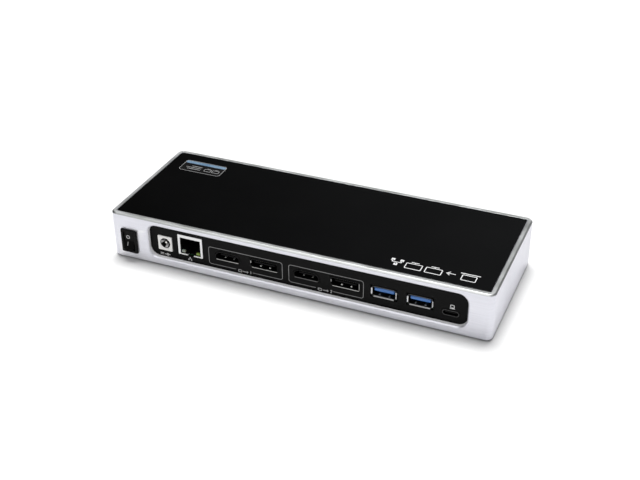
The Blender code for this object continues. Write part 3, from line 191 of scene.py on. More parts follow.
def board_look():
    """Green solder mask with lighter copper tracks under it and rows of tinned pads."""
    made = look("circuit_board_mask", (0.008, 0.060, 0.022), (0.014, 0.095, 0.038), (0.28, 0.42))
    tree = made.node_tree
    shader = tree.nodes["Principled BSDF"]
    place = node(tree, "ShaderNodeTexCoord", {}).outputs["Object"]
    tracks = node(tree, "ShaderNodeTexBrick", {"Vector": place, "Scale": 420.0, "Mortar Size": 0.035,
        "Brick Width": 1.9, "Row Height": 0.4, "Color1": colour(0.0), "Color2": colour(0.0),
        "Mortar": colour(1.0)})
    pads = node(tree, "ShaderNodeTexVoronoi", {"Vector": place, "Scale": 520.0, "Randomness": 0.35})
    pad = spread(tree, pads.outputs["Distance"], 0.16, 0.20, 1.0, 0.0)
    base = shader.inputs["Base Color"].links[0].from_socket
    base = mix_colours(tree, tracks.outputs["Color"], base, colour((0.03, 0.17, 0.06)))
    base = mix_colours(tree, pad, base, colour((0.55, 0.53, 0.46)))
    tree.links.new(base, shader.inputs["Base Color"])
    return made


# One finished material for each kind of surface, and lighter and darker copies of some that paint
# highlights and shade
LOOKS = {
    "aluminium": look("satin_aluminium", (0.70, 0.70, 0.755), (0.79, 0.79, 0.845), (0.32, 0.44), 0.60,
        grain=3200.0, stretch=(0.02, 0.02, 1.0), bump=0.10, edge_highlight=(0.92, 0.92, 0.93)),
    # the rim's cut aluminium is more metallic, and its darker colour is painted shade
    "rim": look("cut_aluminium_rim_painted_shade", (0.42, 0.43, 0.42), (0.50, 0.51, 0.51), (0.32, 0.42), 0.95,
        grain=3200.0, stretch=(0.02, 0.02, 1.0), bump=0.10),
    # a darker copy for the rim chamfers that face left and away: painted shade
    "rim_shaded_sides": look("cut_aluminium_edge_painted_shade", (0.19, 0.20, 0.19), (0.25, 0.26, 0.26), (0.32, 0.42), 0.95,
        grain=3200.0, stretch=(0.02, 0.02, 1.0), bump=0.10),
    # near-white, almost non-metallic aluminium for the inside of the openings: a painted highlight
    "opening_painted_highlight": look("aluminium_painted_highlight", (0.95, 0.95, 0.97), (0.98, 0.98, 0.99), (0.45, 0.55), 0.05,
        grain=3600.0, stretch=(0.02, 1.0, 1.0), bump=0.10),
    "plate": look("gloss_black_plate", 0.0004, 0.0009, (0.08, 0.13), grain=900.0, blotch=25.0,
        bump=0.02, depth=0.01 * MM),
    "panel": look("satin_black_panel", 0.003, 0.006, (0.42, 0.55), grain=5200.0, bump=0.25,
        Specular_IOR_Level=0.07),
    "cover": look("textured_black_cover", 0.010, 0.022, (0.45, 0.62), grain=2600.0, bump=0.5),
    "rubber": look("rubber_foot", 0.012, 0.026, (0.75, 0.92), grain=3800.0, bump=0.4),
    "screw": look("blackened_steel", 0.10, 0.24, (0.28, 0.45), 1.0, grain=4200.0, edge_highlight=0.55),
    "jack": look("jack_plastic", (0.80, 0.79, 0.77), (0.90, 0.89, 0.87), (0.32, 0.45), grain=3500.0),
    "nickel": look("nickel_plate", (0.66, 0.65, 0.61), (0.80, 0.79, 0.75), (0.20, 0.34), 1.0,
        grain=4200.0, stretch=(1.0, 0.08, 1.0), edge_highlight=0.92),
    # near-white tin plate: a painted highlight
    "lip_painted_highlight": look("tin_plate_painted_highlight", 0.92, 0.97, (0.30, 0.42), 0.1, grain=4200.0, edge_highlight=0.98),
    # tin plate: the network socket's shell, and a painted highlight on a USB-A lip and on the power
    # jack's springs
    "tin_plate_and_highlight": look("tin_plate", 0.80, 0.90, (0.30, 0.42), 0.35, grain=4200.0, edge_highlight=0.95),
    # near-black metal for the plated socket shells: painted shade
    "dark_shell": look("shell_painted_shade", 0.010, 0.022, (0.30, 0.45), 1.0, grain=4000.0, edge_highlight=0.05),
    # dark metal for shell edges that lie in shade: painted shade
    "shaded_shell_edge": look("dark_shell_edge", 0.055, 0.085, (0.30, 0.42), 0.6, grain=4000.0),
    "shell_inside": look("shadowed_shell", 0.03, 0.06, (0.30, 0.45), 1.0, grain=4000.0),
    # grey nickel for lips and springs that lie in shade: painted shade
    "shaded_nickel": look("nickel_painted_shade", 0.20, 0.30, (0.30, 0.42), 0.8, grain=4000.0),
    "lip": look("bright_shell_edge", (0.60, 0.60, 0.58), (0.78, 0.78, 0.76), (0.22, 0.36), 1.0,
        grain=4200.0, stretch=(1.0, 0.1, 1.0)),
    "insert": look("black_insert", 0.003, 0.007, (0.40, 0.55), grain=4200.0, bump=0.3,
        Specular_IOR_Level=0.12),
    "deep_insert": look("matt_black_insert", 0.002, 0.004, (0.55, 0.70), grain=4200.0, bump=0.3,
        Specular_IOR_Level=0.02),
    "gold": look("gold_contact", (0.72, 0.50, 0.18), (0.86, 0.66, 0.30), (0.22, 0.34), 1.0),
    "blue": look("blue_tongue", (0.008, 0.085, 0.34), (0.016, 0.13, 0.46), (0.32, 0.46), grain=3600.0,
        edge_highlight=(0.10, 0.26, 0.62)),
    "clear_led": look("clear_led", (0.26, 0.25, 0.21), (0.36, 0.35, 0.30), (0.12, 0.22), bump=0.05,
        Subsurface_Weight=0.3),
    "green_led": look("yellow_green_led", (0.17, 0.23, 0.02), (0.25, 0.31, 0.04), (0.12, 0.22),
        bump=0.05, Subsurface_Weight=0.3),
    "pipe": look("clear_light_pipe", 0.78, 0.88, (0.06, 0.12), bump=0.03, Transmission_Weight=0.75),
    "switch": look("switch_plastic", 0.0025, 0.005, (0.30, 0.44), grain=3300.0, bump=0.25, edge_highlight=0.012,
        Specular_IOR_Level=0.06),
    "spring": look("spring_steel", 0.45, 0.62, (0.22, 0.34), 1.0, grain=5000.0),
    "brass": look("contact_brass", (0.60, 0.44, 0.18), (0.78, 0.62, 0.30), (0.22, 0.36), 1.0),
    "board": board_look(),
    "chip": look("chip_resin", 0.018, 0.034, (0.45, 0.62), grain=4200.0, bump=0.35),
    "thermal": look("thermal_pad", (0.34, 0.36, 0.39), (0.44, 0.46, 0.50), (0.75, 0.9), bump=0.4),
    "heatsink": look("black_heatsink", 0.03, 0.06, (0.38, 0.52), 1.0, grain=3000.0, stretch=(1.0,
        0.03, 1.0)),
    "ferrite": look("ferrite", 0.07, 0.13, (0.55, 0.72), grain=3800.0, bump=0.5),
    "can": look("capacitor_can", 0.58, 0.74, (0.24, 0.36), 1.0, grain=3800.0, stretch=(1.0, 1.0, 0.04)),
    "white_ink": look("white_ink", 0.62, 0.80, (0.45, 0.6), grain=5200.0, blotch=400.0),
    "mark_ink": look("mark_ink", 0.42, 0.55, (0.45, 0.6), grain=5200.0, blotch=400.0),
    "grey_ink": look("grey_ink", 0.21, 0.29, (0.45, 0.6), grain=5200.0, blotch=400.0),
    "label": look("label_film", 0.003, 0.006, (0.16, 0.24), grain=2400.0, bump=0.05),
    "label_band": look("label_band", (0.055, 0.11, 0.18), (0.15, 0.21, 0.27), (0.25, 0.4), blotch=90.0),
    "label_ink": look("label_ink", 0.15, 0.23, (0.4, 0.55), grain=5200.0, blotch=300.0),
}


# Outlines and mesh building

def rounded_rectangle(width, height, radius, steps=ARC_STEPS, centre=(0.0, 0.0)):
    """Outline of a rectangle with round corners, counter-clockwise."""
    points = []
    for quarter in range(4):
        side_u = 1 if quarter in (0, 3) else -1
        side_v = 1 if quarter in (0, 1) else -1
        u = centre[0] + side_u * (width / 2 - radius)
        v = centre[1] + side_v * (height / 2 - radius)
        for step in range(steps + 1):
            angle = (quarter + step / steps) * pi / 2
            points.append((u + radius * cos(angle), v + radius * sin(angle)))
    return points


def rectangle(width, height):
    """A plain rectangle round (0, 0), counter-clockwise."""
    return [(-width / 2, -height / 2), (width / 2, -height / 2), (width / 2, height / 2),
        (-width / 2, height / 2)]


def circle(radius, steps=32, centre=(0.0, 0.0)):
    """A regular outline with many sides, counter-clockwise."""
    angles = [2 * pi * step / steps for step in range(steps)]
    return [(centre[0] + radius * cos(a), centre[1] + radius * sin(a)) for a in angles]


def grown(points, distance):
    """Move each side of a convex counter-clockwise outline outwards by a distance."""
    result = []
    for index in range(len(points)):
        before = Vector(points[index - 1])
        here = Vector(points[index])
        after = Vector(points[(index + 1) % len(points)])
        first = (here - before).normalized()
        second = (after - here).normalized()
        normal = Vector((first.y, -first.x))
        middle = (normal + Vector((second.y, -second.x))).normalized()
        result.append(tuple(here + middle * distance / middle.dot(normal)))
    return result


def rounded(points, radius, steps=5):
    """Round each corner of a convex counter-clockwise outline with an arc."""
    result = []
    for index in range(len(points)):
        here = Vector(points[index])
        to_before = (Vector(points[index - 1]) - here).normalized()
        to_after = (Vector(points[(index + 1) % len(points)]) - here).normalized()
        half = to_before.angle(to_after) / 2
        centre = here + (to_before + to_after).normalized() * radius / sin(half)
        start = here + to_before * radius / tan(half) - centre
        for step in range(steps + 1):
            turn = Matrix.Rotation((pi - 2 * half) * step / steps, 2)
            result.append(tuple(centre + turn @ start))
    return result


def moved(points, u, v):
    """Shift an outline."""
    return [(a + u, b + v) for a, b in points]


def new_shape(add, *details, **options):
    """A fresh mesh in the making that holds one added shape."""
    bm = bmesh.new()
    add(bm, *details, **options)
    return bm


def at(x, y, z):
    """A move to a place, as a matrix."""
    return Matrix.Translation((x, y, z))


def on_axis(axis, u, v, along):
    """A point of an outline that lies across the named axis."""
    return {"X": (along, u, v), "Y": (u, along, v), "Z": (u, v, along)}[axis]


def join_rings(bm, rings, closed=False):
    """Add the faces between rings of vertices, then the two ends unless they run back to the start."""
    pairs = list(zip(rings, rings[1:]))
    if closed:
        pairs.append((rings[-1], rings[0]))
    for first, second in pairs:
        for index in range(len(first)):
            after = (index + 1) % len(first)
            bm.faces.new((first[index], first[after], second[after], second[index]))
    if not closed:
        bm.faces.new(rings[0])
        bm.faces.new(rings[-1])


def add_stations(bm, axis, stations, closed):
    """Add a surface through outlines: a capped solid, or a ring that runs back to its start."""
    loops = [[bm.verts.new(on_axis(axis, u, v, along)) for u, v in outline]
        for outline, along in stations]
    join_rings(bm, loops, closed)


def add_prism(bm, axis, outline, low, high):
    """Add a solid with one outline all the way along an axis."""
    add_stations(bm, axis, [(outline, low), (outline, high)], closed=False)


def add_box(bm, low, high):
    """Add a box between two corners."""
    outline = [(low[0], low[1]), (high[0], low[1]), (high[0], high[1]), (low[0], high[1])]
    add_prism(bm, "Z", outline, low[2], high[2])


def add_turned(bm, axis, profile, centre=(0.0, 0.0), steps=40):
    """Add a turned solid from (radius, place along the axis) points."""
    stations = [(circle(radius, steps, centre), along) for radius, along in profile]
    add_stations(bm, axis, stations, closed=False)


def add_strip(bm, path, across, width, thickness):
    """Add a bent strip of sheet: path is its middle line, across its width's direction."""
    across = Vector(across).normalized()
    rings = []
    for index, point in enumerate(path):
        before = Vector(path[max(index - 1, 0)])
        after = Vector(path[min(index + 1, len(path) - 1)])
        normal = (after - before).normalized().cross(across)
        ring = []
        for side, lift in ((-1, -1), (1, -1), (1, 1), (-1, 1)):
            corner = Vector(point) + across * side * width / 2 + normal * lift * thickness / 2
            ring.append(bm.verts.new(corner))
        rings.append(ring)
    join_rings(bm, rings)


def built(bm):
    """Turn a mesh in the making into a mesh with its faces pointing out."""
    bmesh.ops.recalc_face_normals(bm, faces=bm.faces)
    mesh = bpy.data.meshes.new("mesh")
    bm.to_mesh(mesh)
    bm.free()
    return mesh


def settle(obj):
    """Replace an object's mesh with what its modifiers make of it."""
    graph = bpy.context.evaluated_depsgraph_get()
    mesh = bpy.data.meshes.new_from_object(obj.evaluated_get(graph))
    obj.modifiers.clear()
    obj.data = mesh


def combine(obj, bm, operation, place):
    """Cut a shape from an object, or join it."""
    bm.transform(place)
    helper = bpy.data.objects.new("helper", built(bm))
    bpy.context.scene.collection.objects.link(helper)
    modifier = obj.modifiers.new("combine", "BOOLEAN")
    modifier.operation = operation
    modifier.solver = "EXACT"
    modifier.object = helper
    settle(obj)
    bpy.data.objects.remove(helper)


def piece(name, bm, finish, place=Matrix(), body="casing", stands_for=(), joins=(), cuts=(),
        bevel=0.0, segments=2):
    """Make one visible piece that moves with a CAD body and may stand for CAD nodes."""
    bm.transform(place)
    obj = bpy.data.objects.new(name, built(bm))
    bpy.context.scene.collection.objects.link(obj)
    obj.data.materials.append(LOOKS[finish])
    for tool in joins:
        combine(obj, tool, "UNION", place)
    for tool in cuts:
        combine(obj, tool, "DIFFERENCE", place)
    obj.data.shade_smooth()
    if bevel > 0.0:
        modifier = obj.modifiers.new("bevel", "BEVEL")
        modifier.width = bevel
        modifier.segments = segments
        modifier.limit_method = "ANGLE"
        modifier.angle_limit = radians(28.0)
        modifier.harden_normals = True
        settle(obj)
    else:
        obj.data.set_sharp_from_angle(angle=radians(32.0))
    obj.data.name = name
    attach(obj, body)
    if stands_for:
        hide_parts(*stands_for)
    return obj


def paint(obj, finish, chosen):
    """Give another material to the faces for which chosen(middle, normal) is true."""
    obj.data.materials.append(LOOKS[finish])
    number = len(obj.data.materials) - 1
    for face in obj.data.polygons:
        if chosen(face.center, face.normal):
            face.material_index = number


def dress(nodes, finish):
    """Give CAD nodes a finished material."""
    for name in nodes:
        for slot in frame["nodes"][name].material_slots:
            slot.material = LOOKS[finish]


def middle_of(name):
    """The middle of a CAD node's box."""
    low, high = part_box(name)
    return (low + high) / 2


# Casing

FRAME_LOW, FRAME_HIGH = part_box("aluminium_frame")
CASE_Y = (FRAME_LOW.y + FRAME_HIGH.y) / 2
LENGTH = FRAME_HIGH.x - FRAME_LOW.x
WIDTH = FRAME_HIGH.y - FRAME_LOW.y
HEIGHT = FRAME_HIGH.z
SHELF_TOP = HEIGHT - PLATE_THICKNESS - GAP
COVER_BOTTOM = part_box("bottom_cover")[0].z
BOSSES = [middle_of(f"cover_screw_{number}") for number in (1, 2, 3, 4)]
POSTS = [middle_of(f"board_screw_{number}") for number in (1, 2, 3, 4)]
BOARD_LOW, BOARD_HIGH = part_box("main_circuit_board")
COVER_TOP = COVER_BOTTOM + 1.5 * MM
SEAT = BOARD_HIGH.z + GAP


def case_outline(inset):
    """The casing's plan outline, moved in from its outer faces."""
    radius = max(CORNER_RADIUS - inset, LEAST_CORNER)
    return rounded_rectangle(LENGTH - 2 * inset, WIDTH - 2 * inset, radius, centre=(0.0, CASE_Y))


def opening_tool(panel, face, inwards):
    """The shape of a chamfered opening through a long wall."""
    low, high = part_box(panel)
    start, end = low.x + PANEL_OVERLAP, high.x - PANEL_OVERLAP
    bottom, top = low.z + PANEL_OVERLAP, HEIGHT - OPENING_TOP_MARGIN
    middle = ((start + end) / 2, (bottom + top) / 2)
    stations = []
    for grow, depth in ((2 * OPENING_CHAMFER, -OPENING_CHAMFER), (0.0, OPENING_CHAMFER),
            (0.0, WALL + OPENING_CHAMFER)):
        outline = rounded_rectangle(end - start + 2 * grow, top - bottom + 2 * grow,
            OPENING_RADIUS + grow, centre=middle)
        stations.append((outline, face + inwards * depth))
    return new_shape(add_stations, "Y", stations, closed=False)


def casing():
    """The aluminium frame with rounded chamfers, its openings, shelf and screw bosses."""
    profile = []
    for step in range(7):
        angle = step / 6 * pi / 2
        inset = BOTTOM_RADIUS * (1 - sin(angle))
        profile.append((inset, FRAME_LOW.z + BOTTOM_RADIUS * (1 - cos(angle))))
    profile += [(0.0, HEIGHT - RIM_CHAMFER), (RIM_CHAMFER, HEIGHT), (WALL, HEIGHT), (WALL, SHELF_TOP),
        (WALL + SHELF_WIDTH, SHELF_TOP), (WALL + SHELF_WIDTH, SHELF_TOP - SHELF_THICKNESS),
        (WALL, SHELF_TOP - SHELF_THICKNESS), (WALL, FRAME_LOW.z)]
    bm = new_shape(add_stations, "Z", [(case_outline(inset), z) for inset, z in profile], closed=True)
    bosses = bmesh.new()
    holes = bmesh.new()
    for place in BOSSES:
        top = HEIGHT - BOSS_TOP_DROP
        add_turned(bosses, "Z", [(BOSS_RADIUS, COVER_TOP + GAP), (BOSS_RADIUS, top)], place.xy, 24)
        radius = SCREW_RADIUS + FIT
        add_turned(holes, "Z", [(radius, 0.0), (radius, COVER_TOP + 8 * MM)], place.xy, 20)
    switch_low, switch_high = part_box("switch_housing")
    size = switch_high - switch_low
    middle = (switch_low + switch_high) / 2
    outline = rounded_rectangle(size.x - 2 * BEZEL_LAP + 2 * GAP, size.z - 2 * BEZEL_LAP + 2 * GAP,
        0.4 * MM, 3, (middle.x, middle.z))
    switch_hole = new_shape(add_prism, "Y", outline, FRAME_LOW.y - WALL, FRAME_LOW.y + 2 * WALL)
    shell = piece("casing_frame", bm, "aluminium", stands_for=["aluminium_frame"],
        joins=[bosses], cuts=[holes, opening_tool("rear_port_panel", FRAME_LOW.y, 1),
        opening_tool("front_port_panel", FRAME_HIGH.y, -1), switch_hole], bevel=0.13 * MM)
    # the faces at the top of the rim get the darker rim colour: painted shade
    paint(shell, "rim", lambda middle, normal: (middle.z > HEIGHT - RIM_CHAMFER * 1.2
        and normal.z > 0.2))
    # the chamfers facing left and away get painted shade
    paint(shell, "rim_shaded_sides", lambda middle, normal: (middle.z > HEIGHT - RIM_CHAMFER * 1.2
        and 0.2 < normal.z < 0.95 and (normal.x < -0.3 or normal.y > 0.3)))

    def in_opening(middle, _normal):
        from_face = min(middle.y - FRAME_LOW.y, FRAME_HIGH.y - middle.y)
        return (abs(middle.x) < LENGTH / 2 - WALL and OPENING_CHAMFER * 1.1 < from_face < WALL * 0.98
            and COVER_TOP < middle.z < HEIGHT - OPENING_TOP_MARGIN * 0.8)

    # the inner faces and ledges of the openings are painted near white as a painted highlight
    paint(shell, "opening_painted_highlight", in_opening)


def top_plate():
    """The gloss black plate in the rim, a hair lower than the rim so that printing fits on it."""
    inset = WALL + GAP
    outline = rounded_rectangle(LENGTH - 2 * inset, WIDTH - 2 * inset, PLATE_CORNER,
        centre=(0.0, CASE_Y))
    bm = new_shape(add_prism, "Z", outline, HEIGHT - PLATE_THICKNESS, HEIGHT - PLATE_DROP)
    piece("plate", bm, "plate", stands_for=["top_plate"], bevel=0.12 * MM, segments=3)


def bottom_cover():
    """The underside's plate with round-ended vents, countersinks and the board's posts."""
    inset = WALL + GAP
    outline = rounded_rectangle(LENGTH - 2 * inset, WIDTH - 2 * inset, 1.2 * MM, centre=(0.0, CASE_Y))
    bm = new_shape(add_prism, "Z", outline, COVER_BOTTOM, COVER_TOP)
    posts = bmesh.new()
    holes = bmesh.new()
    for place in POSTS:
        top = BOARD_LOW.z - GAP
        add_turned(posts, "Z", [(POST_RADIUS, COVER_TOP - 0.7 * MM), (POST_RADIUS, top)], place.xy, 24)
        add_turned(holes, "Z", [(1.3 * MM, COVER_TOP), (1.3 * MM, SEAT)], place.xy, 16)
    for place in BOSSES:
        wide = SCREW_HEAD_RADIUS + FIT
        narrow = SCREW_RADIUS + FIT
        add_turned(holes, "Z", [(wide + FIT, COVER_BOTTOM - FIT),
            (narrow, COVER_BOTTOM + wide - narrow), (narrow, COVER_TOP + MM)], place.xy, 32)
    vents = bmesh.new()
    for side in (-1, 1):
        for row in (-1, 1):
            for index in range(VENT_COUNT):
                x = side * VENT_BLOCK[0] + (index - (VENT_COUNT - 1) / 2) * VENT_PITCH * MM
                slot = rounded_rectangle(*VENT_SIZE, 0.88 * MM, 6, (x, CASE_Y + row * VENT_BLOCK[1]))
                add_prism(vents, "Z", slot, COVER_BOTTOM - MM, COVER_TOP + MM)
    piece("underside_cover", bm, "cover", stands_for=["bottom_cover"], joins=[posts],
        cuts=[holes, vents], bevel=0.10 * MM)


def feet():
    """Round rubber feet with a soft edge and a shallow dish underneath."""
    for name in ("foot_rear_left", "foot_rear_right", "foot_front_left", "foot_front_right"):
        low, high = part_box(name)
        radius = (high.x - low.x) / 2
        profile = [(radius * 0.55, 0.12 * MM), (radius * 0.62, 0.0), (radius - FOOT_EDGE, 0.0)]
        for step in range(1, 6):
            angle = step / 5 * pi / 2
            profile.append((radius - FOOT_EDGE * (1 - sin(angle)), FOOT_EDGE * (1 - cos(angle))))
        profile.append((radius, high.z - low.z))
        bm = new_shape(add_turned, "Z", profile, steps=56)
        place = at((low.x + high.x) / 2, (low.y + high.y) / 2, low.z)
        piece(name.replace("foot", "rubber_foot"), bm, "rubber", place, stands_for=[name])


def cover_screws():
    """Countersunk screws with a cross recess."""
    for number, middle in enumerate(BOSSES, 1):
        low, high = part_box(f"cover_screw_{number}")
        slope = SCREW_HEAD_RADIUS - SCREW_RADIUS
        bm = new_shape(add_turned, "Z", [(SCREW_HEAD_RADIUS - 0.1 * MM, 0.0),
            (SCREW_HEAD_RADIUS, 0.1 * MM), (SCREW_RADIUS, slope), (SCREW_RADIUS, high.z - low.z)])
        long, short, deep = 1.5 * MM, 0.28 * MM, 0.9 * MM
        cross = new_shape(add_box, (-long, -short, -deep), (long, short, deep))
        other = new_shape(add_box, (-short, -long, -deep), (short, long, deep))
        place = at(middle.x, middle.y, low.z)
        piece(f"cover_screw_cross_{number}", bm, "screw", place,
            stands_for=[f"cover_screw_{number}"], cuts=[cross, other], bevel=0.05 * MM)


# Sockets

def mouth(name, half_height, turned=False):
    """The middle of a socket's mouth: local +Y runs into the casing from its front edge."""
    low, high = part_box(name)
    place = at((low.x + high.x) / 2, high.y if turned else low.y, high.z - half_height)
    return place @ Matrix.Rotation(pi if turned else 0.0, 4, "Z")


def depth_of(name):
    """How deep a CAD node runs into the casing."""
    low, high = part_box(name)
    return high.y - low.y


def block_of(name):
    """A CAD node's size, and the middle of its rear face as a place."""
    low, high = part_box(name)
    return high - low, at((low.x + high.x) / 2, low.y, (low.z + high.z) / 2)


def add_legs(bm, half_width, depth, foot):
    """Two solder legs down to the board, as one piece with the shell's side walls."""
    for side in (-1, 1):
        inner = side * (half_width + SHEET * 0.2)
        outer = side * (half_width + SHEET * 0.9)
        low = (min(inner, outer), depth * 0.45, foot)
        add_box(bm, low, (max(inner, outer), depth * 0.75, 0.0))


def tube(ring, soft, depth):
    """A folded-sheet tube with a soft front edge; ring(grow) is its mouth's outline, grown."""
    return new_shape(add_stations, "Y", [(ring(0.0), depth), (ring(0.0), soft),
        (ring(soft * 0.4), soft * 0.3), (ring(SHEET / 2), 0.0), (ring(SHEET - soft * 0.4), soft * 0.3),
        (ring(SHEET), soft), (ring(SHEET), depth)], closed=True)


def spring_bumps(name, place, across, depth, level, rise, finish="lip"):
    """Spring noses that stand out of a mouth's lower wall, side by side."""
    bm = bmesh.new()
    for x in across:
        turns = [step / 8 * pi for step in range(9)]
        path = [(x, depth - 0.75 * MM * cos(turn), level + rise * sin(turn)) for turn in turns]
        add_strip(bm, path, (1.0, 0.0, 0.0), 0.85 * MM, 0.10 * MM)
    piece(name, bm, finish, place)


def contact_rows(name, place, count, pitch, width, reach, level):
    """A row of thin gilt contacts on a tongue: reach is (start, end) into the mouth."""
    bm = bmesh.new()
    for index in range(count):
        x = (index - (count - 1) / 2) * pitch
        path = [(x, reach[0], level), (x, (reach[0] + reach[1]) / 2, level), (x, reach[1], level)]
        add_strip(bm, path, (1.0, 0.0, 0.0), width, 0.05 * MM)
    piece(name, bm, "gold", place)


def tongue(name, node_name, outline, blade, setback, depth, block_depth, finish, place):
    """A plastic insert: a block at the back of a shell and a blade towards its mouth."""
    bm = new_shape(add_prism, "Y", rounded(grown(outline, -FIT), 0.15 * MM), depth - block_depth, depth)
    width, thickness, lift = blade
    tip = rounded_rectangle(width - 0.3 * MM, thickness * 0.55, thickness * 0.2, 3, (0.0, lift))
    full = rounded_rectangle(width, thickness, thickness * 0.25, 3, (0.0, lift))
    arm = new_shape(add_stations, "Y", [(tip, setback), (full, setback + 0.35 * MM),
        (full, depth - block_depth / 2)], closed=False)
    piece(name, bm, finish, place, stands_for=[node_name], joins=[arm])


def hdmi_outline():
    """Mouth of an HDMI socket with its wide side down."""
    wide, narrow = HDMI_SIZE[0] / 2, HDMI_NARROW / 2
    low, high = -HDMI_SIZE[1] / 2, HDMI_SIZE[1] / 2
    return [(-wide, low), (wide, low), (wide, low + HDMI_STEP), (narrow, high), (-narrow, high),
        (-wide, low + HDMI_STEP)]


def displayport_outline():
    """Mouth of a DisplayPort socket with its cut corner at the lower left."""
    side, high = DISPLAYPORT_SIZE[0] / 2, DISPLAYPORT_SIZE[1] / 2
    return [(DISPLAYPORT_CUT - side, -high), (side, -high), (side, high), (-side, high),
        (-side, DISPLAYPORT_CUT - high)]


def video_socket(kind, number):
    """An HDMI or DisplayPort socket: a shell painted near black as shade, with a painted highlight on
    its lower lip, and its tongue.
    """
    hdmi = kind == "hdmi"
    outline = hdmi_outline() if hdmi else displayport_outline()
    size = HDMI_SIZE if hdmi else DISPLAYPORT_SIZE
    shell_node = f"{kind}_shell_{number}"
    tongue_node = f"{kind}_tongue_{number}"
    place = mouth(shell_node, SHEET + size[1] / 2)
    depth = depth_of(shell_node)
    corner = 0.75 * MM if hdmi else 0.3 * MM

    def ring(grow):
        return rounded(grown(outline, grow) if grow else outline, corner + grow)

    bm = tube(ring, 0.12 * MM, depth)
    add_legs(bm, size[0] / 2, depth, SEAT - place.translation.z)
    shell = piece(f"{kind}_tube_{number}", bm, "dark_shell", place,
        stands_for=[shell_node])
    front = place.translation.y
    floor = place.translation.z - size[1] / 2
    side = size[0] / 2

    def at_mouth(middle, normal):
        return middle.y < front + 0.5 * MM and (normal.y < -0.3 or abs(normal.y) < 0.1)

    def is_lip(middle, normal):
        return at_mouth(middle, normal) and middle.z < floor + 0.06 * MM and normal.z > -0.1

    def is_right(middle, normal):
        return (at_mouth(middle, normal) and middle.x > place.translation.x + side - 0.06 * MM
            and abs(middle.z - place.translation.z) < 1.9 * MM and normal.x < 0.1)

    # the lower lip gets bright metal as a painted highlight, and on the second HDMI socket a grey
    # painted shade
    paint(shell, "shaded_nickel" if kind == "hdmi" and number == 2 else "lip", is_lip)
    # the second DisplayPort shell also gets a painted highlight on its right edge
    if kind == "displayport" and number == 2:
        paint(shell, "lip", is_right)
    width = HDMI_NARROW * 0.98 if hdmi else size[0] * 0.78
    blade = (width, 1.1 * MM, 0.2 * MM if hdmi else 0.1 * MM)
    tongue(f"{kind}_blade_{number}", tongue_node, outline, blade, 1.5 * MM, depth, 3 * MM, "insert",
        place)
    level = blade[2] + blade[1] / 2
    count = 10
    contact_rows(f"{kind}_contacts_{number}", place, count, width / (count + 1), 0.34 * MM,
        mm(2.2, 6.5), level)
    low = -size[1] / 2 + 0.02 * MM
    if hdmi:
        spring_bumps(f"{kind}_springs_{number}", place, mm(-2.6, 2.6), 3.6 * MM, low,
            0.2 * MM)
        return
    spring_bumps(f"{kind}_springs_{number}", place, mm(-2.3, 3.2), 2.2 * MM,
        low + 0.4 * MM, 0.5 * MM)
    catch = bmesh.new()
    path = []
    for step in range(7):
        turn = step / 6 * pi
        path.append((0.02 * MM - size[0] / 2 + 0.3 * MM * sin(turn), 1.0 * MM - 0.7 * MM * cos(turn),
            0.4 * MM))
    add_strip(catch, path, (0.0, 0.0, 1.0), 1.5 * MM, 0.10 * MM)
    piece(f"{kind}_catch_{number}", catch, "lip", place)


def usb_a_socket(label, turned=False):
    """A USB-A socket: a folded tube, four flared lips at its mouth, springs and a blue tongue."""
    shell_node = f"usb_a_shell_{label}"
    tongue_node = f"usb_a_tongue_{label}"
    width, height = USB_A_SIZE
    place = mouth(shell_node, USB_A_FLARE + SHEET + height / 2, turned)
    depth = depth_of(shell_node)
    outline = rectangle(width, height)
    inner = rounded(outline, 0.2 * MM)
    outer = rounded(grown(outline, SHEET), 0.2 * MM + SHEET)
    bm = new_shape(add_stations, "Y", [(inner, depth), (inner, USB_A_FLARE), (outer, USB_A_FLARE),
        (outer, depth)], closed=True)
    add_legs(bm, width / 2, depth, SEAT - place.translation.z)
    # the tube is given the dark shadowed metal: painted shade over its nickel
    piece(f"usb_a_tube_{label}", bm, "shell_inside", place, stands_for=[shell_node])
    corner = 0.7 * MM
    # The four lips are one metal with four brightnesses of painted light: highlights on the left and
    # right lips, grey shade on the low lip, dark shade on the high lip.
    for lip, side, reach, half, finish in (("left", -1, height, width / 2, "lip_painted_highlight"),
            ("right", 1, height, width / 2, "tin_plate_and_highlight"), ("low", -1, width, height / 2, "shaded_nickel"),
            ("high", 1, width, height / 2, "shaded_shell_edge")):
        upright = lip in ("left", "right")
        path = []
        for step in range(6):
            turn = step / 5
            out = half + SHEET / 2 + USB_A_FLARE * turn ** 1.5
            along = USB_A_FLARE * 1.5 - (USB_A_FLARE * 1.5 - 0.05 * MM) * turn
            path.append((side * out, along, 0.0) if upright else (0.0, along, side * out))
        bm = new_shape(add_strip, path, (0.0, 0.0, 1.0) if upright else (1.0, 0.0, 0.0),
            reach - 2 * corner, SHEET * (0.8 if upright else 0.5))
        piece(f"usb_a_lip_{lip}_{label}", bm, finish, place)
    thickness = height * 0.46
    lift = height / 2 - thickness / 2 - 0.5 * MM
    tongue(f"usb_a_blade_{label}", tongue_node, outline, (width * 0.88, thickness, lift), 1.2 * MM,
        depth, 3 * MM, "blue", place)
    contact_rows(f"usb_a_contacts_{label}", place, 4, 2.4 * MM, 1.0 * MM, mm(2.5, 8.0),
        lift - thickness / 2)
    # the springs on the lower wall get the grey painted shade
    spring_bumps(f"usb_a_springs_{label}", place, mm(-2.7, 2.7), 2.2 * MM, -height / 2,
        0.25 * MM, "shaded_nickel")


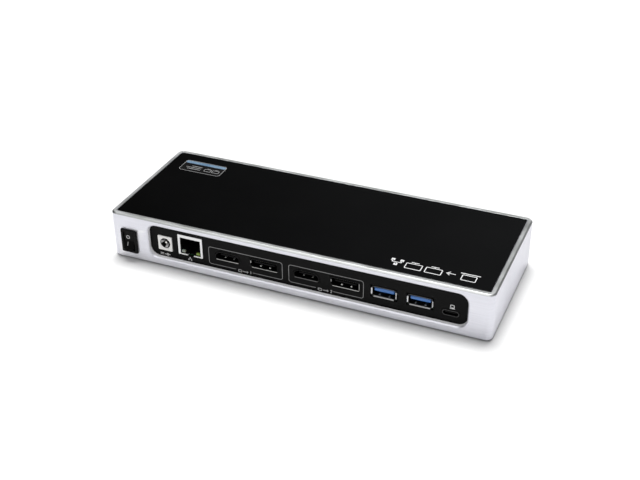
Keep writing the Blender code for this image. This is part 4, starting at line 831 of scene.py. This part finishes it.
def usb_c_socket(label, turned=False):
    """A USB-C socket: a round-ended shell with a soft edge, and a thin tongue with contacts."""
    shell_node = f"usb_c_shell_{label}"
    tongue_node = f"usb_c_tongue_{label}"
    width, height = USB_C_SIZE
    place = mouth(shell_node, SHEET + height / 2, turned)
    depth = depth_of(shell_node)

    def ring(grow):
        radius = height / 2 + grow - 0.05 * MM
        return rounded_rectangle(width + 2 * grow, height + 2 * grow, radius)

    bm = tube(ring, 0.10 * MM, depth)
    # the USB-C shell is painted near black as shade
    shell = piece(f"usb_c_ring_{label}", bm, "dark_shell", place,
        stands_for=[shell_node])
    front = place.translation.y
    # the front edge gets a slightly lighter dark metal: painted shade, like the rest of the shell
    paint(shell, "shaded_shell_edge", lambda middle, normal: (abs(middle.y - front) < 0.09 * MM
        and abs(normal.y) > 0.5))
    bm = new_shape(add_prism, "Y", ring(-FIT), depth - 1.8 * MM, depth)
    tip = rounded_rectangle(width * 0.74, 0.45 * MM, 0.12 * MM, 3)
    full = rounded_rectangle(width * 0.78, 0.70 * MM, 0.15 * MM, 3)
    blade = new_shape(add_stations, "Y", [(tip, 0.8 * MM), (full, 1.1 * MM), (full, depth - 0.9 * MM)],
        closed=False)
    piece(f"usb_c_blade_{label}", bm, "insert", place, stands_for=[tongue_node],
        joins=[blade])
    contact_rows(f"usb_c_contacts_{label}", place, 12, 0.5 * MM, 0.25 * MM, mm(1.5, 4.5), 0.35 * MM)


def ethernet_socket():
    """The network socket's plated shell, and the contacts that hang into its cavity."""
    (width, depth, height), place = block_of("ethernet_shell")
    side_band, low_band, high_band = ETHERNET_BANDS
    low_band *= ETHERNET_LOW_SHARE
    bm = new_shape(add_prism, "Y", rounded_rectangle(width, height, 0.35 * MM, 4), 0.0, depth)
    inner = rectangle(width - 2 * ETHERNET_SHEET, height - 2 * ETHERNET_SHEET)
    pocket = new_shape(add_prism, "Y", inner, ETHERNET_SHEET, depth + GAP)
    window = new_shape(add_box, (side_band - width / 2, -GAP, low_band - height / 2),
        (width / 2 - side_band, 2 * ETHERNET_SHEET, height / 2 - high_band))
    notch = new_shape(add_box, (-ETHERNET_NOTCH / 2, -GAP, -height / 2 - GAP),
        (ETHERNET_NOTCH / 2, 4 * ETHERNET_SHEET, low_band + GAP - height / 2))
    can = piece("ethernet_can", bm, "tin_plate_and_highlight", place, stands_for=["ethernet_shell"],
        cuts=[pocket, window, notch], bevel=0.09 * MM)
    # the inner faces deeper than 1 mm get the dark shadowed metal: painted shade
    paint(can, "shell_inside", lambda middle, normal: middle.y > place.translation.y + MM)
    bm = bmesh.new()
    for index in range(8):
        x = (index - 3.5) * 1.02 * MM
        path = [(x, 2.0 * MM, 3.9 * MM), (x, 2.6 * MM, 3.8 * MM), (x, 6.0 * MM, 2.6 * MM),
            (x, 9.5 * MM, 1.1 * MM), (x, 11.0 * MM, 0.9 * MM)]
        add_strip(bm, path, (1.0, 0.0, 0.0), 0.35 * MM, 0.2 * MM)
    piece("ethernet_contacts", bm, "gold", place)
    for side, finish in (("left", "clear_led"), ("right", "green_led")):
        name = f"ethernet_led_{side}"
        low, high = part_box(name)
        bm = new_shape(add_box, low, high)
        piece(f"ethernet_lens_{side}", bm, finish, stands_for=[name], bevel=0.25 * MM, segments=4)


def dc_jack():
    """The power jack: a soft-edged body, a dark lining, a rounded pin and two spring blades."""
    (width, depth, height), place = block_of("dc_jack_body")
    front = place.translation.y
    bm = new_shape(add_prism, "Y", rounded_rectangle(width, height, 0.45 * MM, 5), 0.0, depth)
    edge = DC_BORE_RADIUS + 0.3 * MM
    bore = new_shape(add_turned, "Y", [(edge + GAP, -GAP), (DC_BORE_RADIUS, 0.3 * MM),
        (DC_BORE_RADIUS, 10 * MM)], steps=48)
    pin_hole = new_shape(add_turned, "Y", [mm(1.2, 9.5), (1.2 * MM, depth + GAP)])
    piece("jack_body", bm, "jack", place, stands_for=["dc_jack_body"],
        cuts=[bore, pin_hole], bevel=0.12 * MM, segments=3)
    outer = DC_BORE_RADIUS - 0.02 * MM
    wall = DC_BORE_RADIUS - 0.3 * MM
    lining = new_shape(add_stations, "Y", [(circle(wall, 48), 9.4 * MM), (circle(wall, 48), 0.35 * MM),
        (circle(outer, 48), 0.35 * MM), (circle(outer, 48), 9.9 * MM), (circle(1.3 * MM, 48), 9.9 * MM),
        (circle(1.3 * MM, 48), 9.4 * MM)], closed=True)
    piece("jack_lining", lining, "insert", place)
    pin_low, pin_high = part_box("dc_jack_pin")
    start = pin_low.y - front
    radius = (pin_high.x - pin_low.x) / 2
    profile = []
    for step in range(6):
        angle = step / 5 * pi / 2
        profile.append((radius * (0.35 + 0.65 * sin(angle)), start + radius * (1 - cos(angle))))
    profile.append((radius, pin_high.y - front))
    pin = new_shape(add_turned, "Y", profile)
    piece("jack_pin", pin, "nickel", place, stands_for=["dc_jack_pin"])
    blade = bmesh.new()
    for turn, reach in ((-1.4, 0.5 * MM), (3.0, 0.5 * MM)):
        out = Vector((cos(turn), 0.0, sin(turn)))
        across = Vector((-sin(turn), 0.0, cos(turn)))
        path = []
        for step in range(8):
            along = step / 7
            inward = 0.9 * MM * sin(along * pi)
            path.append(out * (wall - 0.12 * MM - inward) + Vector((0.0, reach + along * 6 * MM, 0.0)))
        add_strip(blade, path, across, 1.5 * MM, 0.12 * MM)
    # the springs get bright tin plate as a painted highlight so that they show in the bore
    piece("jack_springs", blade, "tin_plate_and_highlight", place)


def headset_jack():
    """The 3.5 mm jack: a soft-edged block, a plated collar and a dark bore."""
    low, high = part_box("headset_jack")
    width, depth, height = high - low
    place = mouth("headset_jack", height / 2, turned=True)
    bm = new_shape(add_prism, "Y", rounded_rectangle(width, height, 0.5 * MM, 5), 0.0, depth)
    bore = new_shape(add_turned, "Y", [(AUDIO_BORE_RADIUS, -GAP), (AUDIO_BORE_RADIUS, depth * 0.9)])
    piece("audio_body", bm, "insert", place, stands_for=["headset_jack"], cuts=[bore],
        bevel=0.12 * MM)
    inner, outer = AUDIO_BORE_RADIUS - 0.15 * MM, AUDIO_BORE_RADIUS - 0.01 * MM
    collar = new_shape(add_stations, "Y", [(circle(inner), 3 * MM), (circle(inner), 0.1 * MM),
        (circle(outer), 0.1 * MM), (circle(outer), 3 * MM)], closed=True)
    piece("audio_collar", collar, "nickel", place)


def port_panels():
    """The two black panels, with soft-edged holes round the sockets."""
    usb_a = rectangle(USB_A_SIZE[0] + 2 * (USB_A_FLARE + SHEET + GAP),
        USB_A_SIZE[1] + 2 * (USB_A_FLARE + SHEET + GAP))
    usb_c_height = USB_C_SIZE[1] + 2 * (SHEET + GAP)
    usb_c = rounded_rectangle(USB_C_SIZE[0] + 2 * (SHEET + GAP), usb_c_height,
        usb_c_height / 2 - 0.05 * MM, 8)
    hdmi = rounded(grown(hdmi_outline(), SHEET + GAP), 0.6 * MM)
    displayport = rounded(grown(displayport_outline(), SHEET + GAP), 0.6 * MM)
    kinds = {"hdmi_shell": (hdmi, SHEET + HDMI_SIZE[1] / 2),
        "displayport_shell": (displayport, SHEET + DISPLAYPORT_SIZE[1] / 2),
        "usb_a_shell": (usb_a, USB_A_FLARE + SHEET + USB_A_SIZE[1] / 2),
        "usb_c_shell": (usb_c, SHEET + USB_C_SIZE[1] / 2)}
    rear = ["hdmi_shell_1", "hdmi_shell_2", "displayport_shell_1", "displayport_shell_2",
        "usb_a_shell_1", "usb_a_shell_2", "usb_c_shell_host", "dc_jack_body", "ethernet_shell"]
    front = ["usb_a_shell_front", "usb_c_shell_front", "headset_jack", "status_light_pipe"]
    for panel, sockets in (("rear_port_panel", rear), ("front_port_panel", front)):
        low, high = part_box(panel)
        outline = rounded_rectangle(high.x - low.x, high.z - low.z, MM, 4,
            ((low.x + high.x) / 2, (low.z + high.z) / 2))
        bm = new_shape(add_prism, "Y", outline, low.y, high.y)
        tools = bmesh.new()
        for name in sockets:
            socket_low, socket_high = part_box(name)
            x = (socket_low.x + socket_high.x) / 2
            z = (socket_low.z + socket_high.z) / 2
            kind = name.rpartition("_")[0]
            if name == "status_light_pipe":
                radius = (socket_high.x - socket_low.x) / 2
                outline = circle(radius + GAP)
                z = socket_high.z - radius
            elif kind in kinds:
                outline, half = kinds[kind]
                z = socket_high.z - half
            else:
                outline = rectangle(socket_high.x - socket_low.x + 2 * GAP,
                    socket_high.z - socket_low.z + 2 * GAP)
            add_prism(tools, "Y", moved(outline, x, z), low.y - MM, high.y + MM)
        name = panel.replace("_port_panel", "_panel_face")
        piece(name, bm, "panel", stands_for=[panel], cuts=[tools], bevel=0.08 * MM)


# Power switch

def power_switch():
    """The switch's bezel and its rocker, with a ring and a bar printed on the rocker."""
    low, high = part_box("switch_housing")
    middle = (low + high) / 2
    joint = next(j for j in frame["joints"] if j["name"] == "power_switch_tilt")
    pivot = Vector(joint["pos_m"])
    face_y = FRAME_LOW.y
    size = (high.x - low.x, high.z - low.z)
    body = (size[0] - 2 * BEZEL_LAP, size[1] - 2 * BEZEL_LAP)
    place = at(middle.x, face_y, middle.z)
    front = low.y - face_y
    steps = ((0.7 * MM, 0.7 * MM, front), (0.25 * MM, 0.75 * MM, front + 0.12 * MM),
        (0.0, 0.8 * MM, front + 0.35 * MM), (0.0, 0.8 * MM, -GAP))
    stations = [(rounded_rectangle(size[0] - less, size[1] - less, radius, 5), along) for less, radius,
        along in steps]
    bm = new_shape(add_stations, "Y", stations, closed=False)
    block = new_shape(add_prism, "Y", rectangle(*body), front + 0.5 * MM, high.y - face_y)
    rocker_low, rocker_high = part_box("switch_rocker")
    half_width = ROCKER_WIDTH / 2
    cavity_height = body[1] - MM
    cavity = new_shape(add_prism, "Y", rectangle(2 * (half_width + GAP), cavity_height), front - MM,
        9.6 * MM)
    holes = new_shape(add_turned, "X", [(0.9 * MM, -body[0]), (0.9 * MM, body[0])],
        (pivot.y - face_y, 0.0), 20)
    slots = bmesh.new()
    for name in ("switch_terminal_common", "switch_terminal_switched"):
        terminal_low, terminal_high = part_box(name)
        z = (terminal_low.z + terminal_high.z) / 2 - middle.z
        add_box(slots, (-1.7 * MM, 8 * MM, z - 0.5 * MM), (1.7 * MM, 12 * MM, z + 0.5 * MM))
    piece("switch_bezel", bm, "switch", place, stands_for=["switch_housing"],
        joins=[block], cuts=[cavity, holes, slots], bevel=0.10 * MM)

    half = ROCKER_HALF
    edge = ROCKER_VALLEY + half * tan(ROCKER_TILT)

    def surface(share):
        """How far the face stands out at a share of the way from the valley to its end."""
        return ROCKER_VALLEY + (edge - ROCKER_VALLEY) * share - ROCKER_SAG * sin(pi * share)

    steps = 8
    turns = [(steps - index) / steps for index in range(2 * steps + 1)]
    profile = [(-surface(abs(along)), along * half) for along in turns]
    profile += [(0.45 * MM, -half), (1.5 * MM, -half * 0.8), mm(1.5, -1.7), mm(4.5, -1.7), mm(4.5, 1.7),
        mm(1.5, 1.7), (1.5 * MM, half * 0.8), (0.45 * MM, half)]
    tilt = Matrix.Translation(pivot) @ Matrix.Rotation(-ROCKER_TILT, 4, "X")
    bm = new_shape(add_prism, "X", profile, -half_width, half_width)
    reach = (rocker_high.x - rocker_low.x) / 2
    trunnions = new_shape(add_turned, "X", [(0.8 * MM, -reach), (0.8 * MM, reach)], steps=20)
    bore = new_shape(add_turned, "Y", [mm(1.1, -0.5), mm(1.1, 5)], steps=20)
    piece("rocker_key", bm, "switch", tilt, "rocker", stands_for=["switch_rocker"],
        joins=[trunnions], cuts=[bore], bevel=0.22 * MM, segments=3)

    def on_face(side, distance):
        """The plane of one half of the rocker's face, at a distance from its middle."""
        share = distance / half
        slope = atan((edge - ROCKER_VALLEY) / half - ROCKER_SAG * pi / half * cos(pi * share))
        flat = at(0.0, -surface(share), side * distance)
        return tilt @ flat @ Matrix.Rotation(pi / 2 + side * slope, 4, "X")

    mark = 2.05 * MM
    left = at(-0.7 * MM, 0.0, 0.0)
    bm = new_shape(add_line, circle(0.95 * MM, 28), 0.48 * MM, closed=True, bow=0.06 * MM)
    piece("switch_mark_off", bm, "mark_ink", on_face(1, mark) @ left, "rocker")
    bm = new_shape(add_line, [mm(0.0, -1.15), (0.0, 0.0), mm(0.0, 1.15)], 0.34 * MM, bow=0.06 * MM)
    piece("switch_mark_on", bm, "mark_ink", on_face(-1, mark) @ left, "rocker")


# Printing

def add_line(bm, points, width, closed=False, bow=0.0):
    """Add a flat printed line along a path in the plane; bow sinks its underside into the face."""
    count = len(points)
    rings = []
    for index in range(count):
        here = Vector(points[index])
        before = Vector(points[index - 1]) if closed or index else here
        after = Vector(points[(index + 1) % count]) if closed or index < count - 1 else here
        first = (here - before).normalized() if before != here else (after - here).normalized()
        second = (after - here).normalized() if after != here else first
        normal = Vector((first.y, -first.x))
        middle = (normal + Vector((second.y, -second.x))).normalized()
        offset = middle * (width / 2) / max(middle.dot(normal), 0.3)
        ring = [bm.verts.new((*(here + offset * side), z))
            for side, z in ((-1, -bow), (1, -bow), (1, INK), (-1, INK))]
        rings.append(ring)
    join_rings(bm, rings, closed)


def add_patch(bm, outline):
    """Add a flat printed area."""
    add_prism(bm, "Z", outline, 0.0, INK)


def scaled(points, factor, u=0.0, v=0.0):
    """Scale an outline and shift it."""
    return [(a * factor + u, b * factor + v) for a, b in points]


def add_monitor(bm, u, v, width, height, line):
    """A screen on a stand."""
    screen = rounded_rectangle(width, height, line, 4, (u, v + height * 0.15))
    add_line(bm, screen, line, closed=True)
    foot = v - height * 0.62
    add_line(bm, [(u, v - height * 0.35), (u, foot)], line * 1.4)
    add_line(bm, [(u - width * 0.25, foot), (u + width * 0.25, foot)], line)


def add_laptop(bm, u, v, width, height, line):
    """An open laptop seen from the front."""
    screen = rounded_rectangle(width * 0.72, height * 0.72, line, 4, (u, v + height * 0.14))
    add_line(bm, screen, line, closed=True)
    foot = v - height * 0.42
    add_line(bm, [(u - width / 2, foot), (u + width / 2, foot)], line * 1.2)


def add_network(bm, u, v, size, line):
    """Three linked boxes."""
    box = size * 0.30
    top = v + size * 0.32
    low = v - size * 0.32
    for x, y in ((u, top), (u - size * 0.38, low), (u + size * 0.38, low)):
        add_patch(bm, moved(rectangle(box, box), x, y))
    add_line(bm, [(u, top), (u, v)], line)
    add_line(bm, [(u - size * 0.38, low), (u - size * 0.38, v), (u + size * 0.38, v),
        (u + size * 0.38, low)], line)


def add_digit(bm, digit, u, v, height, line):
    """A plain 1 or 2."""
    half = height / 2
    if digit == 1:
        points = [(-0.35, 0.55), (0.0, 1.0), (0.0, -1.0)]
    else:
        points = [(-0.5, 0.5), (-0.4, 0.85), (0.0, 1.0), (0.4, 0.85), (0.5, 0.45), (0.3, 0.0),
            (-0.5, -1.0), (0.55, -1.0)]
    add_line(bm, scaled(points, half, u, v), line)


def rear_printing():
    """The grey frames round each pair of video sockets and the marks under the other sockets."""
    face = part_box("rear_port_panel")[0].y

    def plane(x, z):
        return at(x, face, z) @ Matrix.Rotation(pi / 2, 4, "X")

    line = 0.32 * MM
    for number in (1, 2):
        hdmi_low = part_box(f"hdmi_shell_{number}")[0]
        port_low, port_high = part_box(f"displayport_shell_{number}")
        start = hdmi_low.x - (4.15 * MM if number == 1 else 2.9 * MM)
        end = port_high.x + (2.65 * MM if number == 1 else 2.0 * MM)
        middle_z = (port_low.z + port_high.z) / 2 - 0.2 * MM
        width, height, radius = end - start, 10.9 * MM, 1.4 * MM
        middle = (start + end) / 2
        label = -0.7 * MM
        gap = 5.1 * MM
        outline = rounded_rectangle(width, height, radius, 8)
        bottom = -height / 2
        path = [(label + gap, bottom)] + outline[27:] + outline[:27] + [(label - gap, bottom)]
        bm = new_shape(add_line, path, line)
        piece(f"video_frame_{number}", bm, "grey_ink", plane(middle, middle_z))
        low_line = bottom - 0.45 * MM
        screen = rounded_rectangle(2.0 * MM, 1.3 * MM, 0.3 * MM, 3, (label - 2.6 * MM, low_line))
        bm = new_shape(add_line, screen, 0.34 * MM, closed=True)
        add_line(bm, [(label - 0.9 * MM, low_line), (label + 2.0 * MM, low_line)], 0.40 * MM)
        add_line(bm, scaled([(-0.8, 0.8), (0.0, 0.0), (-0.8, -0.8)], 0.8 * MM, label + 2.2 * MM,
            low_line), 0.32 * MM)
        add_digit(bm, number, label + 3.9 * MM, low_line + 0.1 * MM, 1.5 * MM, 0.32 * MM)
        piece(f"video_label_{number}", bm, "mark_ink", plane(middle, middle_z))

    socket = middle_of("ethernet_shell")
    bm = new_shape(add_network, 0.0, 0.0, 2.2 * MM, 0.24 * MM)
    piece("network_mark", bm, "white_ink", plane(socket.x - 0.75 * MM, 7.1 * MM))
    socket = middle_of("dc_jack_body")
    bm = new_shape(add_line, [mm(-3.2, 0.45), mm(-0.9, 0.45)], 0.36 * MM)
    for u in (-2.9, -2.05, -1.2):
        add_line(bm, [((u - 0.3) * MM, -0.35 * MM), ((u + 0.3) * MM, -0.35 * MM)], 0.36 * MM)
    add_line(bm, [mm(-0.4, 0.0), mm(0.9, 0.0)], 0.34 * MM)
    add_line(bm, circle(0.62 * MM, 18, mm(1.5, 0.0)), 0.34 * MM, closed=True)
    add_patch(bm, circle(0.24 * MM, 12, mm(1.5, 0.0)))
    add_line(bm, [mm(2.1, 0.0), mm(3.2, 0.0)], 0.34 * MM)
    piece("power_mark", bm, "white_ink", plane(socket.x - 0.45 * MM, 6.6 * MM))
    socket = middle_of("usb_c_shell_host")
    bm = new_shape(add_laptop, 0.0, 0.0, 2.7 * MM, 2.3 * MM, 0.36 * MM)
    piece("host_mark", bm, "white_ink", plane(socket.x + 0.7 * MM, socket.z + 3.9 * MM))


def front_printing():
    """Marks beside the sockets of the desk side."""
    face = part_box("front_port_panel")[1].y
    turn = Matrix.Rotation(pi, 4, "Z") @ Matrix.Rotation(pi / 2, 4, "X")

    def plane(x, z):
        return at(x, face, z) @ turn

    jack = middle_of("headset_jack")
    arc = [(1.3 * MM * cos(a * pi / 10), 1.3 * MM * sin(a * pi / 10)) for a in range(11)]
    bm = new_shape(add_line, arc, 0.28 * MM)
    for side in (-1, 1):
        add_patch(bm, rounded_rectangle(0.7 * MM, 1.3 * MM, 0.25 * MM, 3, (side * 1.2 * MM, -0.4 * MM)))
    add_line(bm, [mm(-1.2, -0.9), mm(-0.7, -1.5), mm(0.0, -1.5)], 0.24 * MM)
    piece("headset_mark", bm, "white_ink", plane(jack.x, jack.z + 5.6 * MM))
    pipe_low, pipe_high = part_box("status_light_pipe")
    arc = [(0.9 * MM * sin(a * pi / 10), 0.9 * MM * cos(a * pi / 10)) for a in range(2, 19)]
    bm = new_shape(add_line, arc, 0.24 * MM)
    add_line(bm, [mm(0.0, 0.3), mm(0.0, 1.2)], 0.24 * MM)
    piece("power_light_mark", bm, "white_ink",
        plane((pipe_low.x + pipe_high.x) / 2, pipe_high.z + 2.2 * MM))


def top_printing():
    """A row of plain pictograms and a small label on the plate, both read from the front."""
    top = HEIGHT - PLATE_DROP
    turn = Matrix.Rotation(pi, 4, "Z")
    row = at(PICTOGRAM_PLACE[0], CASE_Y + PICTOGRAM_PLACE[1], top) @ turn
    line = 0.48 * MM
    bm = new_shape(add_laptop, -18.6 * MM, 0.0, 10.5 * MM, 6.6 * MM, line)
    add_line(bm, [mm(-11.4, 0.0), mm(-6.8, 0.0)], line)
    add_line(bm, [mm(-8.4, 1.5), mm(-6.6, 0.0), mm(-8.4, -1.5)], line)
    add_monitor(bm, 0.2 * MM, 0.4 * MM, 8.6 * MM, 4.8 * MM, line)
    add_monitor(bm, 11.0 * MM, 0.4 * MM, 8.6 * MM, 4.8 * MM, line)
    add_network(bm, 20.6 * MM, 0.0, 6.4 * MM, line)
    piece("plate_pictograms", bm, "mark_ink", row)

    width, depth = LABEL_SIZE
    centre = at(LABEL_PLACE[0], CASE_Y + LABEL_PLACE[1], top) @ turn
    film = new_shape(add_patch, rounded_rectangle(width, depth, 1.9 * MM, 8))
    piece("label_film", film, "label", centre)
    above = centre @ at(0.0, 0.0, INK)
    outline = rounded_rectangle(width - 0.4 * MM, depth - 0.4 * MM, 1.7 * MM, 8)
    bm = new_shape(add_line, outline, 0.30 * MM, closed=True)
    add_monitor(bm, -9.4 * MM, 1.5 * MM, 4.2 * MM, 2.6 * MM, 0.34 * MM)
    add_monitor(bm, -4.2 * MM, 1.5 * MM, 4.2 * MM, 2.6 * MM, 0.34 * MM)
    for v, reach in (mm(3.2, 8.8), mm(1.5, 10.2), mm(-0.2, 7.0)):
        add_line(bm, [(0.4 * MM, v), (0.4 * MM + reach, v)], 0.45 * MM)
    piece("label_marks", bm, "label_ink", above)
    band = new_shape(add_patch, rounded_rectangle(width - 1.0 * MM, 2.6 * MM, 0.9 * MM, 6,
        (0.0, -depth / 2 + 1.9 * MM)))
    piece("label_stripe", band, "label_band", above)


# Stage

def stage():
    """A plain pale floor, three soft suns, a world that only the camera sees as white, and a camera."""
    bm = new_shape(add_box, (-8.0, -8.0, -0.02), (8.0, 8.0, 0.0))
    floor = bpy.data.objects.new("floor", built(bm))
    bpy.context.scene.collection.objects.link(floor)
    floor.data.materials.append(look("floor_paper", 0.54, 0.56, (0.6, 0.7), grain=900.0, blotch=4.0,
        bump=0.02))

    scene = bpy.context.scene
    scene.view_settings.view_transform = "Standard"
    world = bpy.data.worlds.new("studio")
    world.use_nodes = True
    tree = world.node_tree
    towards = node(tree, "ShaderNodeTexCoord", {}).outputs["Generated"]
    across = node(tree, "ShaderNodeSeparateXYZ", {0: towards}).outputs[0]
    dim = tree.nodes["Background"]
    dim.inputs["Color"].default_value = colour((0.93, 0.96, 1.0))
    tree.links.new(spread(tree, across, -0.5, -0.1, 0.02, 0.12), dim.inputs["Strength"])
    bright = node(tree, "ShaderNodeBackground", {"Color": colour(1.0), "Strength": 1.0})
    path = node(tree, "ShaderNodeLightPath", {})
    mixed = node(tree, "ShaderNodeMixShader", {0: path.outputs["Is Camera Ray"], 1: dim.outputs[0],
        2: bright.outputs[0]})
    tree.links.new(mixed.outputs[0], tree.nodes["World Output"].inputs["Surface"])
    scene.world = world

    for name, azimuth, elevation, angle, strength in (("key", -158.0, 76.0, 30.0, 5.6),
            ("front", -12.0, 56.0, 50.0, 1.05), ("right", 60.0, 30.0, 50.0, 0.30)):
        light = bpy.data.lights.new(name, "SUN")
        light.energy = strength
        light.angle = radians(angle)
        lamp = bpy.data.objects.new(name, light)
        a, e = radians(azimuth), radians(elevation)
        back = Vector((sin(a) * cos(e), -cos(a) * cos(e), sin(e)))
        lamp.rotation_mode = "QUATERNION"
        lamp.rotation_quaternion = back.to_track_quat("Z", "Y")
        scene.collection.objects.link(lamp)

    lens = bpy.data.cameras.new("camera")
    lens.lens = CAMERA_LENS
    lens.sensor_width = 36.0
    camera = bpy.data.objects.new("camera", lens)
    camera.location = CAMERA_PLACE
    camera.rotation_mode = "QUATERNION"
    facing = (CAMERA_TARGET - CAMERA_PLACE).to_track_quat("-Z", "Y")
    camera.rotation_quaternion = facing @ Matrix.Rotation(CAMERA_ROLL, 3, "Z").to_quaternion()
    scene.collection.objects.link(camera)
    scene.camera = camera


# CAD nodes whose shape stays, under the finish that each gets
DRESSED = {
    "deep_insert": ["ethernet_insert"], "pipe": ["status_light_pipe"],
    "green_led": ["status_led"], "spring": ["switch_spring"],
    "brass": ["switch_contact", "switch_plunger", "switch_terminal_common",
        "switch_terminal_switched"],
    "board": ["main_circuit_board"],
    "screw": ["board_screw_1", "board_screw_2", "board_screw_3", "board_screw_4"],
    "chip": ["graphics_chip", "usb_hub_chip", "ethernet_transformer"],
    "thermal": ["thermal_pad"], "heatsink": ["heatsink"], "ferrite": ["inductor"],
    "can": ["capacitor"]}


def main():
    casing()
    top_plate()
    bottom_cover()
    feet()
    cover_screws()
    port_panels()
    for number in (1, 2):
        video_socket("hdmi", number)
        video_socket("displayport", number)
        usb_a_socket(str(number))
    usb_a_socket("front", turned=True)
    usb_c_socket("host")
    usb_c_socket("front", turned=True)
    ethernet_socket()
    dc_jack()
    headset_jack()
    power_switch()
    rear_printing()
    front_printing()
    top_printing()
    for finish, nodes in DRESSED.items():
        dress(nodes, finish)
    stage()


main()
